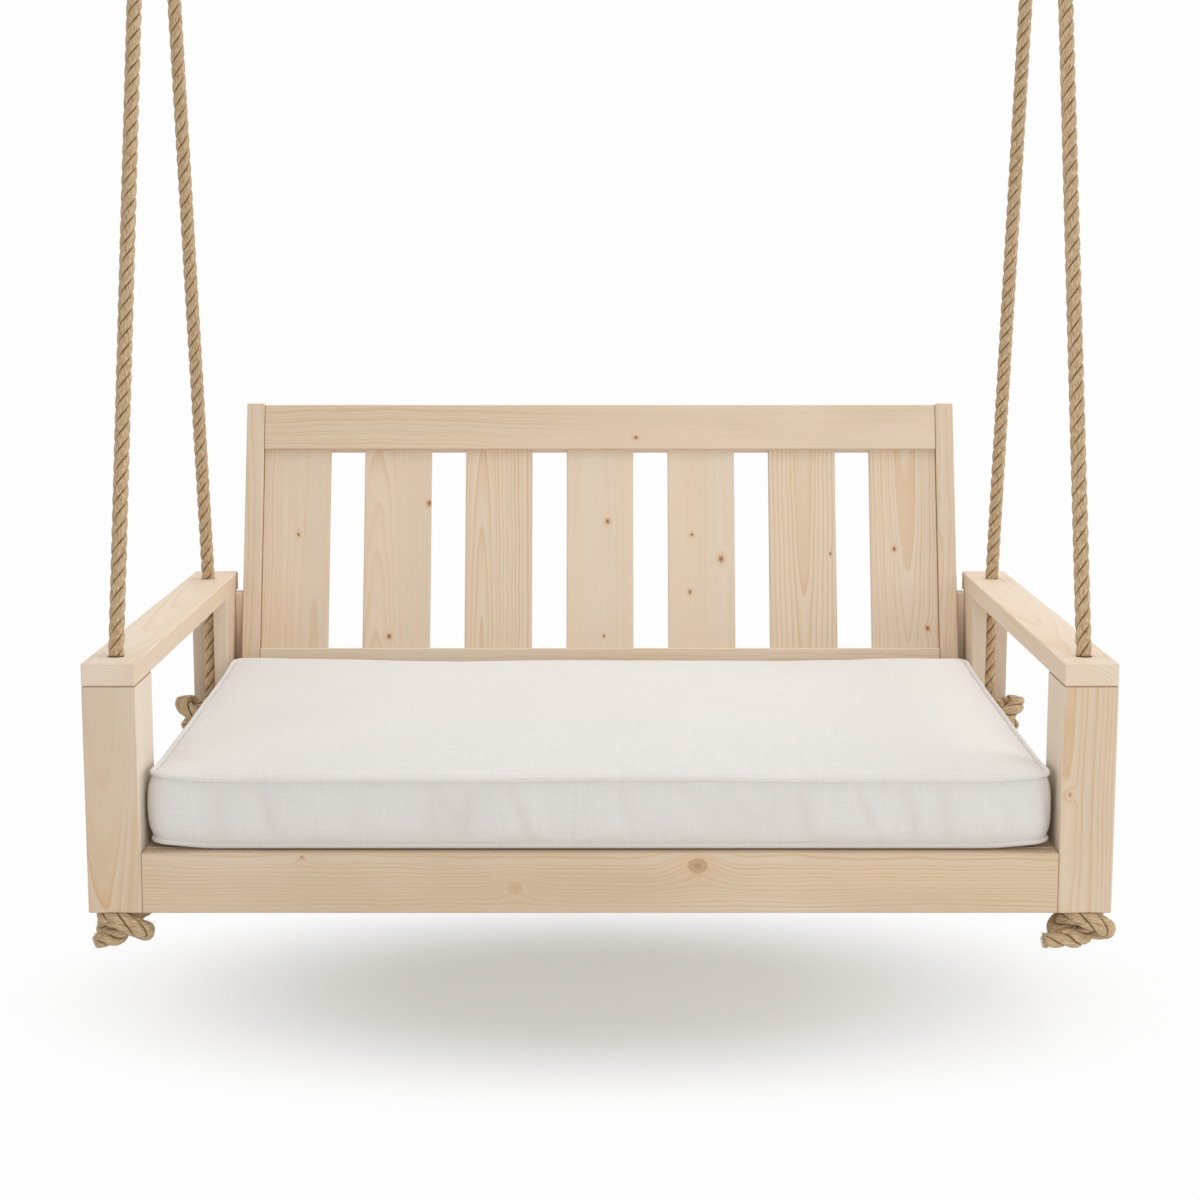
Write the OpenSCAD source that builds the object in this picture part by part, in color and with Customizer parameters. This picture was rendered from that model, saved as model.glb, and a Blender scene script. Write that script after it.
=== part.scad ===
// Hanging swing bed: a timber bench with a slatted back and a box cushion, hung
// by four ropes from four forged ceiling hooks.
//
// The pieces are drawn in bench coordinates: X to the right, Y back from the
// front posts' face, Z up from the posts' feet. The whole is then moved so that
// the origin is the middle of the four hooks, at the ceiling.

/* [Frame] */
// Clear width between the two arms
inner_w = 1524; // [1100:1:1900]
// Depth of the frame, from the front posts' face to the back posts' rear face
frame_d = 1080; // [950:1:1200]
// Height of the posts
post_h = 384; // [340:1:460]
// Width of the posts and of the arms that lie on them
post_w = 89; // [85:1:110]
// Depth of the posts
post_d = 140; // [130:1:160]
// Thickness of the arms
arm_t = 38; // [34:1:50]
// How far the arms run on behind the back posts
arm_tail = 15; // [0:1:40]
// Thickness of the four rails of the seat frame
rail_t = 38; // [34:1:45]
// Height of the four rails of the seat frame
rail_h = 102; // [92:1:130]
// Bevel along every timber's edges
ease = 2; // [1:0.5:4]

/* [Rope channel in the back posts] */
// Thickness of the cheek that stays between the channel and the seat
cheek_t = 28; // [22:1:34]
// Depth of the channel, from the back posts' front face
channel_d = 102; // [98:1:110]
// Height of the recess under the cheek, where the knot sits
recess_h = 76; // [70:1:110]

/* [Seat] */
// Width of a seat slat
seat_slat_w = 89; // [70:1:110]
// Thickness of a seat slat
seat_slat_t = 19; // [15:1:25]
// Side of the square ledgers that carry the seat slats
ledger_s = 38; // [30:1:45]
// Thickness of the beam under the middle of the seat
beam_t = 38; // [30:1:50]

/* [Backrest] */
// Gap between each stile and its back post, filled by a packing strip
back_gap = 17; // [10:1:40]
// Depth of the packing strips, from front to back
strip_d = 30; // [26:1:38]
// Lean of the backrest, in degrees
back_lean = 17; // [10:0.5:18]
// Front face of the backrest at foot level, measured from the frame's rear face
back_setback = 150; // [140:1:160]
// Length of a stile along the lean, from foot level
stile_l = 806; // [650:1:950]
// Thickness of a stile, seen from the front
stile_t = 37; // [30:1:45]
// Depth of a stile, from front to back
stile_d = 89; // [80:1:100]
// How far the rails lie behind the stiles' front face
back_rail_inset = 1.5; // [0:0.5:5]
// Thickness of the backrest's two rails
back_rail_t = 38; // [32:1:45]
// Height of the backrest's two rails
back_rail_h = 96; // [80:1:110]
// How far the top rail ends below the stiles' tops
top_rail_drop = 3; // [0:0.5:10]
// Open height between the backrest's two rails
back_open_h = 422; // [300:1:560]
// Width of a backrest slat
back_slat_w = 140; // [100:1:142]
// Thickness of a backrest slat
back_slat_t = 19; // [15:1:22]
// Depth of the slats' mortises in the rails
mortise_d = 12; // [8:1:20]

/* [Fasteners] */
// Diameter of the dowels in the frame and under the arms
dowel_d = 12; // [8:1:14]
// Length of the dowels in the frame and under the arms
dowel_l = 56; // [44:1:58]
// Diameter of the backrest's dowels
back_dowel_d = 10; // [8:1:12]
// Length of the backrest's dowels
back_dowel_l = 48; // [36:1:56]
// Diameter of the seat screws' shank
screw_d = 4; // [3:0.5:5]
// Length of the seat screws
screw_l = 38; // [30:1:50]
// Diameter of the lag screws that hold the backrest
lag_d = 8; // [6:1:10]
// How far the lag screws go into the back posts
lag_bite = 46; // [36:1:60]
// Height of the lower lag screws above the top of the seat
lag_low = 83; // [70:1:90]
// Height of the upper lag screws above the top of the seat
lag_high = 163; // [130:1:180]
// Diameter of the washers under the lag screws' heads
washer_d = 22; // [18:1:26]
// Thickness of the washers
washer_t = 2; // [1.5:0.5:3]
// Size of the lag screws' hexagon heads, over the corners
lag_head_d = 15; // [13:0.5:18]
// Height of the lag screws' heads
lag_head_h = 5.5; // [4:0.5:7]

/* [Ropes] */
// Diameter of the ropes
rope_d = 25; // [22:1:27]
// Gap all round a rope in its hole
rope_hole_gap = 1.5; // [1.5:0.1:3]
// Distance of the back ropes from the frame's rear face
back_rope_setback = 92; // [88:1:96]
// Height of the eyes on the hooks above the arms
hook_rise = 1300; // [1000:1:2000]
// Distance of the front hooks behind the front posts' face
front_hook_y = 448; // [350:1:500]
// Distance of the back hooks behind the front posts' face
back_hook_y = 746; // [700:1:850]
// Length of the tapered splice below each eye
splice_l = 90; // [60:1:200]
// Half angle at the throat of each eye, in degrees
throat_half = 35; // [30:1:45]

/* [Knots] */
// Radius of the circle that the knot's strands wind about
knot_ring_r = 34; // [31:0.5:35]
// Radius of the winding itself, level
knot_wind_r = 16; // [14:0.5:17]
// Radius of the winding itself, upright
knot_wind_h = 17; // [15:0.5:18]
// Radius of the rope in the knots, where its strands open as they bend
knot_rope_r = 13.5; // [12:0.5:14]
// Length of the cut tail of the front left knot
tail_front_left = 28; // [15:1:50]
// Length of the cut tail of the front right knot
tail_front_right = 38; // [15:1:50]
// Length of the cut tails of the back knots
tail_back = 26; // [15:1:34]
// How steeply the tails hang, as a share of their length
tail_dip = 0.2; // [0:0.05:0.4]
// How far the front left knot's tail is turned up out of its winding
tail_turn_up = 0.1; // [0:0.05:0.5]

/* [Hooks and thimbles] */
// Diameter of the hooks' forged rod
hook_d = 13; // [10:0.5:14]
// Radius of the hook's bowl, to the middle of the rod
bowl_r = 30; // [28:0.5:40]
// Radius of the bend that brings the rod back under its shank
neck_r = 20; // [12:0.5:30]
// Distance from the ceiling to the middle of the rod at the bottom of the bowl
hook_drop = 105; // [100:1:160]
// Diameter of the stud that goes up into the beam
stud_d = 12; // [8:0.5:13]
// Length of the stud that goes up into the beam
stud_l = 50; // [40:1:120]
// Diameter of the collar under the ceiling
collar_d = 40; // [30:1:60]
// Thickness of the collar under the ceiling
collar_t = 5; // [3:0.5:8]
// Radius of the rope's eye, to the middle of the rope
eye_r = 34; // [34:0.5:40]
// Thickness of the thimble's metal
thimble_t = 3; // [2:0.5:3.5]
// Half of the arc of the thimble's groove, in degrees
thimble_half = 65; // [50:1:75]
// Extra play of the back thimbles on their hooks, for the swing
back_play = 0.5; // [0.4:0.1:1]
// How far the back hooks stand behind the line of the ropes, to share that play
back_hook_shift = 1.5; // [1:0.1:2]

/* [Cushion] */
// Gap between the cushion's piping and the posts, on each side
cushion_side_gap = 17; // [14:1:40]
// Distance of the front piping behind the front posts' face
cushion_front = 36; // [20:1:120]
// Distance of the back piping in front of the frame's rear face
cushion_back = 130; // [128:1:200]
// Height between the two lines of piping, at the front
cushion_t = 112; // [80:1:140]
// Extra height of the cushion at the back, as a share of its height
cushion_rise = 0.24; // [0:0.01:0.3]
// Height of the crown above the top piping
crown = 32; // [10:1:40]
// How far the border bulges past the piping's middle line
border_bulge = 8; // [2:0.5:9]
// Diameter of the piping
piping_d = 10; // [6:0.5:12]
// Radius of the cushion's corners
corner_r = 32; // [24:1:90]

/* [Hidden] */
wood = [0.88, 0.77, 0.63];
wood_pale = [0.91, 0.82, 0.70];
rope_tan = [0.72, 0.58, 0.40];
steel = [0.45, 0.46, 0.48];
linen = [0.92, 0.90, 0.87];

seat_slats = 11;
back_slats = 7;
fit = 0.1;           // radial gap round dowels and screws
seat_fit = 0.3;      // gap between a soft or curved piece and its seat
end_gap = 1;         // gap at the seat slats' ends

half_in = inner_w / 2;
half_out = half_in + post_w;
arm_z = post_h;
arm_top = post_h + arm_t;
arm_l = frame_d + arm_tail;
back_post_y = frame_d - post_d;
channel_y = back_post_y + channel_d;
cheek_end = rail_h + recess_h;
cheek_reach = half_in + cheek_t + rope_d / 4;
seat_z = rail_h;
slat_z = seat_z - seat_slat_t;
back_w = inner_w - 2 * back_gap;
half_back = back_w / 2;
stile_in = half_back - stile_t;

rope_r = rope_d / 2;
rope_x = half_in + post_w / 2;
front_rope_y = post_d / 2;
back_rope_y = frame_d - back_rope_setback;
hook_z = arm_top + hook_rise;
ceiling_z = hook_z + hook_drop;
back_eye_y = back_hook_y - back_hook_shift;
hook_mid_y = (front_hook_y + back_hook_y) / 2;
bore_r = eye_r - rope_r - seat_fit - thimble_t;
front_hang = bore_r - hook_d / 2 - seat_fit;
back_hang = front_hang - back_play;

// The straight routes of the four free ropes, from the hole in the arm to the
// rod of the hook. The left ropes are the same with X negative.
front_route = [[rope_x, front_rope_y, arm_top], [rope_x, front_hook_y, hook_z]];
back_route = [[rope_x, back_rope_y, arm_top], [rope_x, back_eye_y, hook_z]];

// ---------------------------------------------------------------- helpers

// Moves bench coordinates to the part's own origin, under the ceiling
module placed() {
    translate([0, -hook_mid_y, -ceiling_z]) children();
}

// The same piece on the left or on the right
module on_side(side) {
    if (side > 0) children();
    else mirror([1, 0, 0]) children();
}

module both_sides() {
    children();
    mirror([1, 0, 0]) children();
}

function eased(w, h, e) = [[e, 0], [w - e, 0], [w, e], [w, h - e], [w - e, h],
    [e, h], [0, h - e], [0, e]];

// A sawn timber between two corners, with all its edges eased
module timber(low, high) {
    size = high - low;
    translate(low) intersection() {
        linear_extrude(size.z) polygon(eased(size.x, size.y, ease));
        translate([0, size.y, 0]) rotate([90, 0, 0])
            linear_extrude(size.y) polygon(eased(size.x, size.z, ease));
        rotate([90, 0, 90])
            linear_extrude(size.x) polygon(eased(size.y, size.z, ease));
    }
}

// A round bar through a point, along a direction given as a rotation
module bar(at, turn, d, back, ahead) {
    translate(at) rotate(turn) translate([0, 0, -back])
        cylinder(h = back + ahead, d = d, $fn = 48);
}

function unit(v) = v / norm(v);
function tangent(p, i) = unit(p[min(i + 1, len(p) - 1)] - p[max(i - 1, 0)]);
function carried(n, t) = unit(n - (n * t) * t);

// The points of a round tube along a path, one ring of points for each place
function tube_points(path, radii, sides, start) = [
    for (i = 0, t = tangent(path, 0), n = carried(start, t);
        i < len(path);
        i = i + 1,
        t = tangent(path, min(i, len(path) - 1)),
        n = carried(n, t))
        for (k = [0 : sides - 1])
            path[i] + radii[i] * (cos(360 * k / sides) * n
                + sin(360 * k / sides) * cross(t, n))];

// The triangles between rings, clockwise as seen from outside
function ring_faces(rings, sides, closed = false) = [
    for (i = [0 : rings - (closed ? 1 : 2)])
        for (k = [0 : sides - 1])
            let (j = (i + 1) % rings, m = (k + 1) % sides)
                each [[i * sides + k, j * sides + m, i * sides + m],
                    [i * sides + k, j * sides + k, j * sides + m]]];

function caps(rings, sides) = [
    [for (k = [0 : sides - 1]) k],
    [for (k = [sides - 1 : -1 : 0]) (rings - 1) * sides + k]];

module tube(path, radii, sides, start) {
    polyhedron(tube_points(path, radii, sides, start),
        concat(ring_faces(len(path), sides), caps(len(path), sides)));
}

function evenly(n, v) = [for (i = [1 : n]) v];

// ---------------------------------------------------------------- dowels

// Dowels between two timbers, drawn on the right: each set straddles its joint
module dowel_set(points, turn, grow) {
    for (p = points)
        bar(p, turn, dowel_d + 2 * grow, dowel_l / 2 + grow, dowel_l / 2 + grow);
}

rail_dowel_z = [rail_h * 0.3, rail_h * 0.7];

module front_rail_dowels(grow = 0) {
    dowel_set([for (z = rail_dowel_z) [half_in, rail_t / 2, z]], [0, 90, 0], grow);
}

module back_rail_dowels(grow = 0) {
    dowel_set([for (z = rail_dowel_z) [half_in, frame_d - rail_t / 2, z]],
        [0, 90, 0], grow);
}

module side_rail_dowels(grow = 0) {
    dowel_set([for (y = [post_d, back_post_y], z = rail_dowel_z)
        [half_out - rail_t / 2, y, z]], [-90, 0, 0], grow);
}

module beam_dowels(grow = 0) {
    dowel_set([for (z = [slat_z * 0.3, slat_z * 0.7])
        [half_out - rail_t, frame_d / 2, z]], [0, 90, 0], grow);
}

module arm_dowel_set(grow = 0) {
    dowel_set([for (y = [post_d * 0.18, post_d * 0.82]) [rope_x, y, arm_z]],
        [0, 0, 0], grow);
    dowel_set([for (x = [-1, 1]) [rope_x + x * post_w / 4,
        (channel_y + frame_d) / 2, arm_z]], [0, 0, 0], grow);
}

module frame_dowels() {
    color(wood_pale) placed() both_sides() {
        front_rail_dowels();
        back_rail_dowels();
        side_rail_dowels();
        beam_dowels();
    }
}

module arm_dowels() {
    color(wood_pale) placed() both_sides() arm_dowel_set();
}

// ---------------------------------------------------------------- seat frame

module front_rail() {
    color(wood) placed() difference() {
        timber([-half_in, 0, 0], [half_in, rail_t, rail_h]);
        both_sides() front_rail_dowels(fit);
        ledger_screw_row(rail_t, -1, fit);
    }
}

module back_rail() {
    color(wood) placed() difference() {
        timber([-half_in, frame_d - rail_t, 0], [half_in, frame_d, rail_h]);
        both_sides() back_rail_dowels(fit);
        ledger_screw_row(frame_d - rail_t, 1, fit);
    }
}

module side_rail(side) {
    color(wood) placed() on_side(side) difference() {
        timber([half_out - rail_t, post_d, 0], [half_out, back_post_y, rail_h]);
        side_rail_dowels(fit);
        beam_dowels(fit);
    }
}

module rope_bore(y, low, high) {
    translate([rope_x, y, low])
        cylinder(h = high - low, r = rope_r + rope_hole_gap, $fn = 64);
}

module front_post(side) {
    color(wood) placed() on_side(side) difference() {
        timber([half_in, 0, 0], [half_out, post_d, post_h]);
        rope_bore(front_rope_y, -1, post_h + 1);
        front_rail_dowels(fit);
        side_rail_dowels(fit);
        arm_dowel_set(fit);
    }
}

// The back post has an open channel for the rope at its front outer corner.
// Under the end of the cheek is a recess, and the rope's knot bears up there.
module back_post(side) {
    over = 10;
    color(wood) placed() on_side(side) difference() {
        timber([half_in, back_post_y, 0], [half_out, frame_d, post_h]);
        translate([half_in + cheek_t, back_post_y - over, rail_h])
            cube([post_w, channel_d + over, post_h]);
        translate([half_in - over, back_post_y - over, rail_h])
            cube([post_w, channel_d + over, recess_h]);
        back_rail_dowels(fit);
        side_rail_dowels(fit);
        arm_dowel_set(fit);
        lag_set(fit);
    }
}

// The mouth of each hole in the arm has its edge just broken
module arm(side) {
    mouth = 0.5;
    color(wood) placed() on_side(side) difference() {
        timber([half_in, 0, arm_z], [half_out, arm_l, arm_top]);
        for (y = [front_rope_y, back_rope_y]) {
            rope_bore(y, arm_z - 1, arm_top + 1);
            translate([rope_x, y, arm_top - mouth])
                cylinder(h = 2 * mouth, r1 = rope_r + rope_hole_gap,
                    r2 = rope_r + rope_hole_gap + 2 * mouth, $fn = 64);
        }
        arm_dowel_set(fit);
    }
}

// ---------------------------------------------------------------- seat

function seat_slat_x(i) = -half_in + seat_slat_w / 2
    + i * (inner_w - seat_slat_w) / (seat_slats - 1);

seat_screw_y = [rail_t + ledger_s / 2, frame_d / 2,
    frame_d - rail_t - ledger_s / 2];

// A countersunk wood screw, its head flush with the slat
module seat_screw(grow = 0) {
    head = screw_d;
    translate([0, 0, -screw_l - grow])
        cylinder(h = screw_l + grow, d = screw_d + 2 * grow, $fn = 24);
    translate([0, 0, -head / 2 - grow])
        cylinder(h = head / 2 + grow, r1 = screw_d / 2 + grow / 2,
            r2 = screw_d + grow, $fn = 24);
}

module seat_screw_row(y, grow = 0) {
    for (i = [0 : seat_slats - 1])
        translate([seat_slat_x(i), y, seat_z]) seat_screw(grow);
}

// The screws that hold a ledger to its rail, between the slats
module ledger_screw_row(joint_y, way, grow = 0) {
    through = ledger_s - 4;
    for (i = [0 : 2 : seat_slats - 2])
        bar([(seat_slat_x(i) + seat_slat_x(i + 1)) / 2, joint_y,
            slat_z - ledger_s / 2], [-90 * way, 0, 0], screw_d + 1 + 2 * grow,
            through + grow, rail_t / 2 + grow);
}

module ledger(y, joint_y, way) {
    color(wood_pale) placed() difference() {
        timber([-half_in, y, slat_z - ledger_s], [half_in, y + ledger_s, slat_z]);
        seat_screw_row(y + ledger_s / 2, fit);
        ledger_screw_row(joint_y, way, fit);
    }
}

module ledger_front() {
    ledger(rail_t, rail_t, -1);
}

module ledger_back() {
    ledger(frame_d - rail_t - ledger_s, frame_d - rail_t, 1);
}

module seat_beam() {
    reach = half_out - rail_t;
    color(wood_pale) placed() difference() {
        timber([-reach, (frame_d - beam_t) / 2, 0],
            [reach, (frame_d + beam_t) / 2, slat_z]);
        both_sides() beam_dowels(fit);
        seat_screw_row(frame_d / 2, fit);
    }
}

module seat_slat(i) {
    x = seat_slat_x(i - 1);
    color(wood_pale) placed() difference() {
        timber([x - seat_slat_w / 2, rail_t + end_gap, slat_z],
            [x + seat_slat_w / 2, frame_d - rail_t - end_gap, seat_z]);
        for (y = seat_screw_y)
            translate([x, y, seat_z]) seat_screw(fit);
    }
}

module seat_screws() {
    color(steel) placed() {
        for (y = seat_screw_y) seat_screw_row(y);
        ledger_screw_row(rail_t, -1);
        ledger_screw_row(frame_d - rail_t, 1);
    }
}

// ---------------------------------------------------------------- backrest

top_rail_s = stile_l - top_rail_drop - back_rail_h;
bottom_rail_s = top_rail_s - back_open_h - back_rail_h;
rail_front = back_rail_inset;
slat_front = rail_front + (back_rail_t - back_slat_t) / 2;

// Stands the backrest up: its own Y is its thickness and its own Z runs up it
module leaned() {
    translate([0, frame_d - back_setback, 0]) rotate([-back_lean, 0, 0])
        children();
}

function back_slat_x(i) = -stile_in + back_slat_w / 2
    + i * (2 * stile_in - back_slat_w) / (back_slats - 1);

module back_dowel_set(grow = 0) {
    y = rail_front + back_rail_t / 2;
    into_stile = stile_t * 0.6;
    for (s = [bottom_rail_s, top_rail_s], part = [0.28, 0.72])
        bar([stile_in, y, s + part * back_rail_h], [0, 90, 0],
            back_dowel_d + 2 * grow, back_dowel_l - into_stile + grow,
            into_stile + grow);
}

// The stile's foot is cut level and stands on the seat
module stile(side) {
    foot = [stile_t + 2 * ease, 3 * stile_d, rail_h + stile_d];
    color(wood) placed() on_side(side) difference() {
        leaned() timber([stile_in, 0, 0], [half_back, stile_d, stile_l]);
        translate([stile_in - ease, frame_d - back_setback - stile_d,
            rail_h - foot.z]) cube(foot);
        leaned() back_dowel_set(fit);
        lag_set(fit);
    }
}

module slat_mortises(low, high) {
    for (i = [0 : back_slats - 1])
        translate([back_slat_x(i) - back_slat_w / 2 - fit, slat_front - fit, low])
            cube([back_slat_w + 2 * fit, back_slat_t + 2 * fit, high - low]);
}

module back_rail_piece(s, low, high) {
    color(wood) placed() leaned() difference() {
        timber([-stile_in, rail_front, s],
            [stile_in, rail_front + back_rail_t, s + back_rail_h]);
        slat_mortises(low, high);
        both_sides() back_dowel_set(fit);
    }
}

module back_top_rail() {
    back_rail_piece(top_rail_s, top_rail_s - 1, top_rail_s + mortise_d + fit);
}

module back_bottom_rail() {
    top = bottom_rail_s + back_rail_h;
    back_rail_piece(bottom_rail_s, top - mortise_d - fit, top + 1);
}

module back_slat(i) {
    x = back_slat_x(i - 1);
    low = bottom_rail_s + back_rail_h - mortise_d;
    color(wood) placed() leaned()
        timber([x - back_slat_w / 2, slat_front, low],
            [x + back_slat_w / 2, slat_front + back_slat_t,
                top_rail_s + mortise_d]);
}

module backrest_dowels() {
    color(wood_pale) placed() leaned() both_sides() back_dowel_set();
}

// Lag screws go out through each stile and a spacer into the back post
lag_y = (channel_y + frame_d) / 2;
lag_z = [seat_z + lag_low, seat_z + lag_high];
lag_l = stile_t + back_gap + lag_bite;

module lag_set(grow = 0) {
    for (z = lag_z)
        bar([stile_in, lag_y, z], [0, 90, 0], lag_d + 2 * grow, washer_t + grow,
            lag_l - washer_t + grow);
}

module back_lag_screws() {
    color(steel) placed() both_sides() for (z = lag_z) {
        bar([stile_in, lag_y, z], [0, 90, 0], lag_d, washer_t,
            lag_l - washer_t);
        translate([stile_in - washer_t - lag_head_h, lag_y, z])
            rotate([0, 90, 0]) cylinder(h = lag_head_h, d = lag_head_d, $fn = 6);
        translate([stile_in - washer_t, lag_y, z]) rotate([0, 90, 0])
            difference() {
                cylinder(h = washer_t, d = washer_d, $fn = 48);
                translate([0, 0, -1])
                    cylinder(h = washer_t + 2, d = lag_d + 2 * fit, $fn = 48);
            }
    }
}

// A packing strip stands between each stile and its back post
module back_spacers() {
    color(wood_pale) placed() both_sides() difference() {
        timber([half_back, frame_d - strip_d, rail_h], [half_in, frame_d, arm_z]);
        lag_set(fit);
    }
}

// ---------------------------------------------------------------- hooks

// A bend of the hook's rod in the XZ plane, between two angles
module rod_bend(r, from, to) {
    rotate([90, 0, 0]) rotate([0, 0, from])
        rotate_extrude(angle = to - from, $fn = 96)
            translate([r, 0]) circle(d = hook_d, $fn = 32);
}

// A forged hook: bowl, neck bent back under the shank, collar and stud
module hook(side, y) {
    neck_a = acos(neck_r / (bowl_r + neck_r));
    neck_z = (bowl_r + neck_r) * sin(neck_a);
    mouth_a = 190;
    ball = hook_d * 0.58;
    join = hook_d * 0.53;
    shank_top = hook_drop - bowl_r;
    color(steel) placed() translate([side * rope_x, y, hook_z + bowl_r]) {
        rod_bend(bowl_r, mouth_a, 360 + neck_a);
        translate([bowl_r * cos(neck_a), 0, bowl_r * sin(neck_a)])
            sphere(join, $fn = 48);
        translate([neck_r, 0, neck_z]) rod_bend(neck_r, 180, 180 + neck_a);
        translate([0, 0, neck_z]) sphere(join, $fn = 48);
        translate([bowl_r * cos(mouth_a), 0, bowl_r * sin(mouth_a)])
            sphere(ball, $fn = 48);
        translate([0, 0, neck_z])
            cylinder(h = shank_top - neck_z, d = hook_d, $fn = 48);
        translate([0, 0, shank_top - collar_t])
            cylinder(h = collar_t, d = collar_d, $fn = 64);
        translate([0, 0, shank_top]) cylinder(h = stud_l, d = stud_d, $fn = 48);
    }
}

// Puts the eye's middle at the origin and turns it along the rope's line
module at_eye(side, route, hang) {
    along = unit(route[1] - route[0]);
    lean = atan2(along.y, along.z);
    middle = route[1] - hang * along;
    translate([side * middle.x, middle.y, middle.z]) rotate([-lean, 0, 0])
        children();
}

// A round thimble: a grooved ring that carries the rope's eye on the hook
module thimble(side, route, hang) {
    groove_r = rope_r + seat_fit;
    color(steel) placed() at_eye(side, route, hang) rotate([0, 90, 0])
        rotate_extrude($fn = 96) intersection() {
            translate([eye_r, 0]) difference() {
                circle(groove_r + thimble_t, $fn = 64);
                circle(groove_r, $fn = 64);
            }
            polygon([[eye_r, 0],
                [eye_r - 2 * eye_r * cos(thimble_half), 2 * eye_r * sin(thimble_half)],
                [-eye_r * 0.4, 0],
                [eye_r - 2 * eye_r * cos(thimble_half), -2 * eye_r * sin(thimble_half)]]);
        }
}

// ---------------------------------------------------------------- ropes

rope_sides = 12;
eye_sides = 8;
splice_r = rope_r * 1.35;
throat = eye_r / sin(throat_half);

// Half of the eye: up one leg from the throat and round to the top
function eye_half(way) = concat(
    [[0, 0, -throat + rope_r * 0.6],
        [0, way * (throat * 0.5 - rope_r * 0.3) * sin(throat_half),
            -throat + (throat * 0.5 + rope_r * 0.3) * cos(throat_half)]],
    [for (k = [0 : 7]) let (a = -90 + (90 - throat_half)
            + k * (90 + throat_half) / 7)
        [0, way * eye_r * cos(a), eye_r * sin(a)]]);

// The free rope: a rounded foot in the arm's hole, the standing part, a splice
// that grows towards the throat, and the eye
module rope(side, route, hang) {
    foot = rope_r * 0.96;
    stop = norm(route[1] - route[0]) - hang - throat;
    straight = stop - splice_l;
    steps = ceil(straight / (rope_d * 3));
    rings = concat(
        [for (a = [10, 35, 60]) [-foot * cos(a), foot * sin(a)]],
        [[0, rope_r]],
        [for (i = [1 : steps]) [straight * i / steps, rope_r]],
        [[straight + splice_l * 0.5, rope_r * 1.2], [stop - rope_r, splice_r],
            [stop, splice_r], [stop + rope_r * 0.6, rope_r]]);
    color(rope_tan) placed() at_eye(side, route, hang) {
        tube([for (p = rings) [0, 0, p[0] - stop - throat]],
            [for (p = rings) p[1]], rope_sides, [1, 0, 0]);
        for (way = [-1, 1]) {
            half = eye_half(way);
            tube(half, evenly(len(half), rope_r), eye_sides, [1, 0, 0]);
        }
    }
}

// The overhand knot lies flat under its seat. Its strands wind three times
// round a ring while they go twice round the rope's line. The rope comes down
// one of the inner passes, and the last outer turn is cut off as the tail.
function knot_path(turn, facing, last, tail, dip = tail_dip) =
    let (inner_a = 120, first = 66, step = 8.8, grow = 2,
        pass_r = knot_ring_r - knot_wind_r,
        middle = [-pass_r * cos(inner_a), -pass_r * sin(inner_a), 0],
        wound = [for (a = [first : step : last + 0.1])
            let (r = knot_ring_r + grow * (a - 60) / 270
                + knot_wind_r * cos(3 * a))
            middle + [r * cos(2 * a), r * sin(2 * a), knot_wind_h * sin(3 * a)]],
        n = len(wound),
        way = unit(unit(wound[n - 1] - wound[n - 2]) - [0, 0, dip]),
        flat = concat(wound,
            [wound[n - 1] + way * tail / 2, wound[n - 1] + way * tail]))
    [for (p = flat) [p.x * cos(facing) - turn * p.y * sin(facing),
        p.x * sin(facing) + turn * p.y * cos(facing), p.z]];

function least_gap(path, apart) = min([for (i = [0 : len(path) - 1])
    for (j = [i + 1 : len(path) - 1])
        let (d = norm(path[i] - path[j]))
            if (j - i > apart) d - 2 * knot_rope_r]);

// Height of the knot's highest strand over its middle, as far out as the seat
// it bears on reaches
knot_lead = [[0, 0, 36], [0, 0, 18]];

function knot_radii(straight, n) = [for (i = [0 : straight + n - 1])
    i < straight ? rope_r : i < straight + n - 2 ? knot_rope_r : rope_r];

function crest(knot, side, reach) =
    let (path = concat(knot_lead, knot), n = len(knot_lead) * eye_sides,
        points = tube_points(path, knot_radii(len(knot_lead), len(knot)),
            eye_sides, [1, 0, 0]))
    max([for (i = [n : len(points) - 1])
        if (abs(side * rope_x + points[i].x) < reach) points[i].z]);

// The rope's end on the bench: from the arm's hole down to the knot, which
// bears up against its seat
module rope_end(side, y, seat, reach, knot) {
    top = arm_top - rope_r * 0.96 - seat_fit;
    mid = seat - seat_fit - crest(knot, side, reach);
    down = [for (z = [top : -50 : mid + 60]) [0, 0, z - mid]];
    path = concat(down, knot_lead, knot);
    color(rope_tan) placed() translate([side * rope_x, y, mid])
        tube(path, knot_radii(len(path) - len(knot), len(knot)), eye_sides,
            [1, 0, 0]);
}

// Points of one winding are nearer to each other than a rope's width, so the
// measure starts at points more than seven places apart
echo(knot_least_gap = least_gap(knot_path(1, 0, 339, tail_front_right), 7));

// ---------------------------------------------------------------- cushion

cushion_half = half_in - cushion_side_gap;
cushion_far = frame_d - cushion_back;
cushion_z = seat_z + seat_fit;
piping_r = piping_d / 2;
outline_n = 9;       // points on each corner's quarter circle

// A rounded rectangle, inset from the piping's middle line
function outline(inset) =
    let (r = max(corner_r - inset, 8), x = cushion_half - inset - r,
        low = cushion_front + inset + r, high = cushion_far - inset - r)
    [for (c = [[x, high, 0], [-x, high, 90], [-x, low, 180], [x, low, 270]])
        for (k = [0 : outline_n - 1])
            let (a = c[2] + 90 * k / (outline_n - 1))
                [c[0] + r * cos(a), c[1] + r * sin(a)]];

// The cushion grows a little higher towards the backrest
function cushion_lift(y, z) = cushion_z + z * (1 + cushion_rise
    * (y - cushion_front) / (cushion_far - cushion_front));

function lifted(ring, z) = [for (p = ring) [p[0], p[1], cushion_lift(p[1], z)]];

piping_low = piping_r + 0.2;
piping_high = piping_low + cushion_t;
tuck = piping_r + seat_fit + 0.4;

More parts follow.
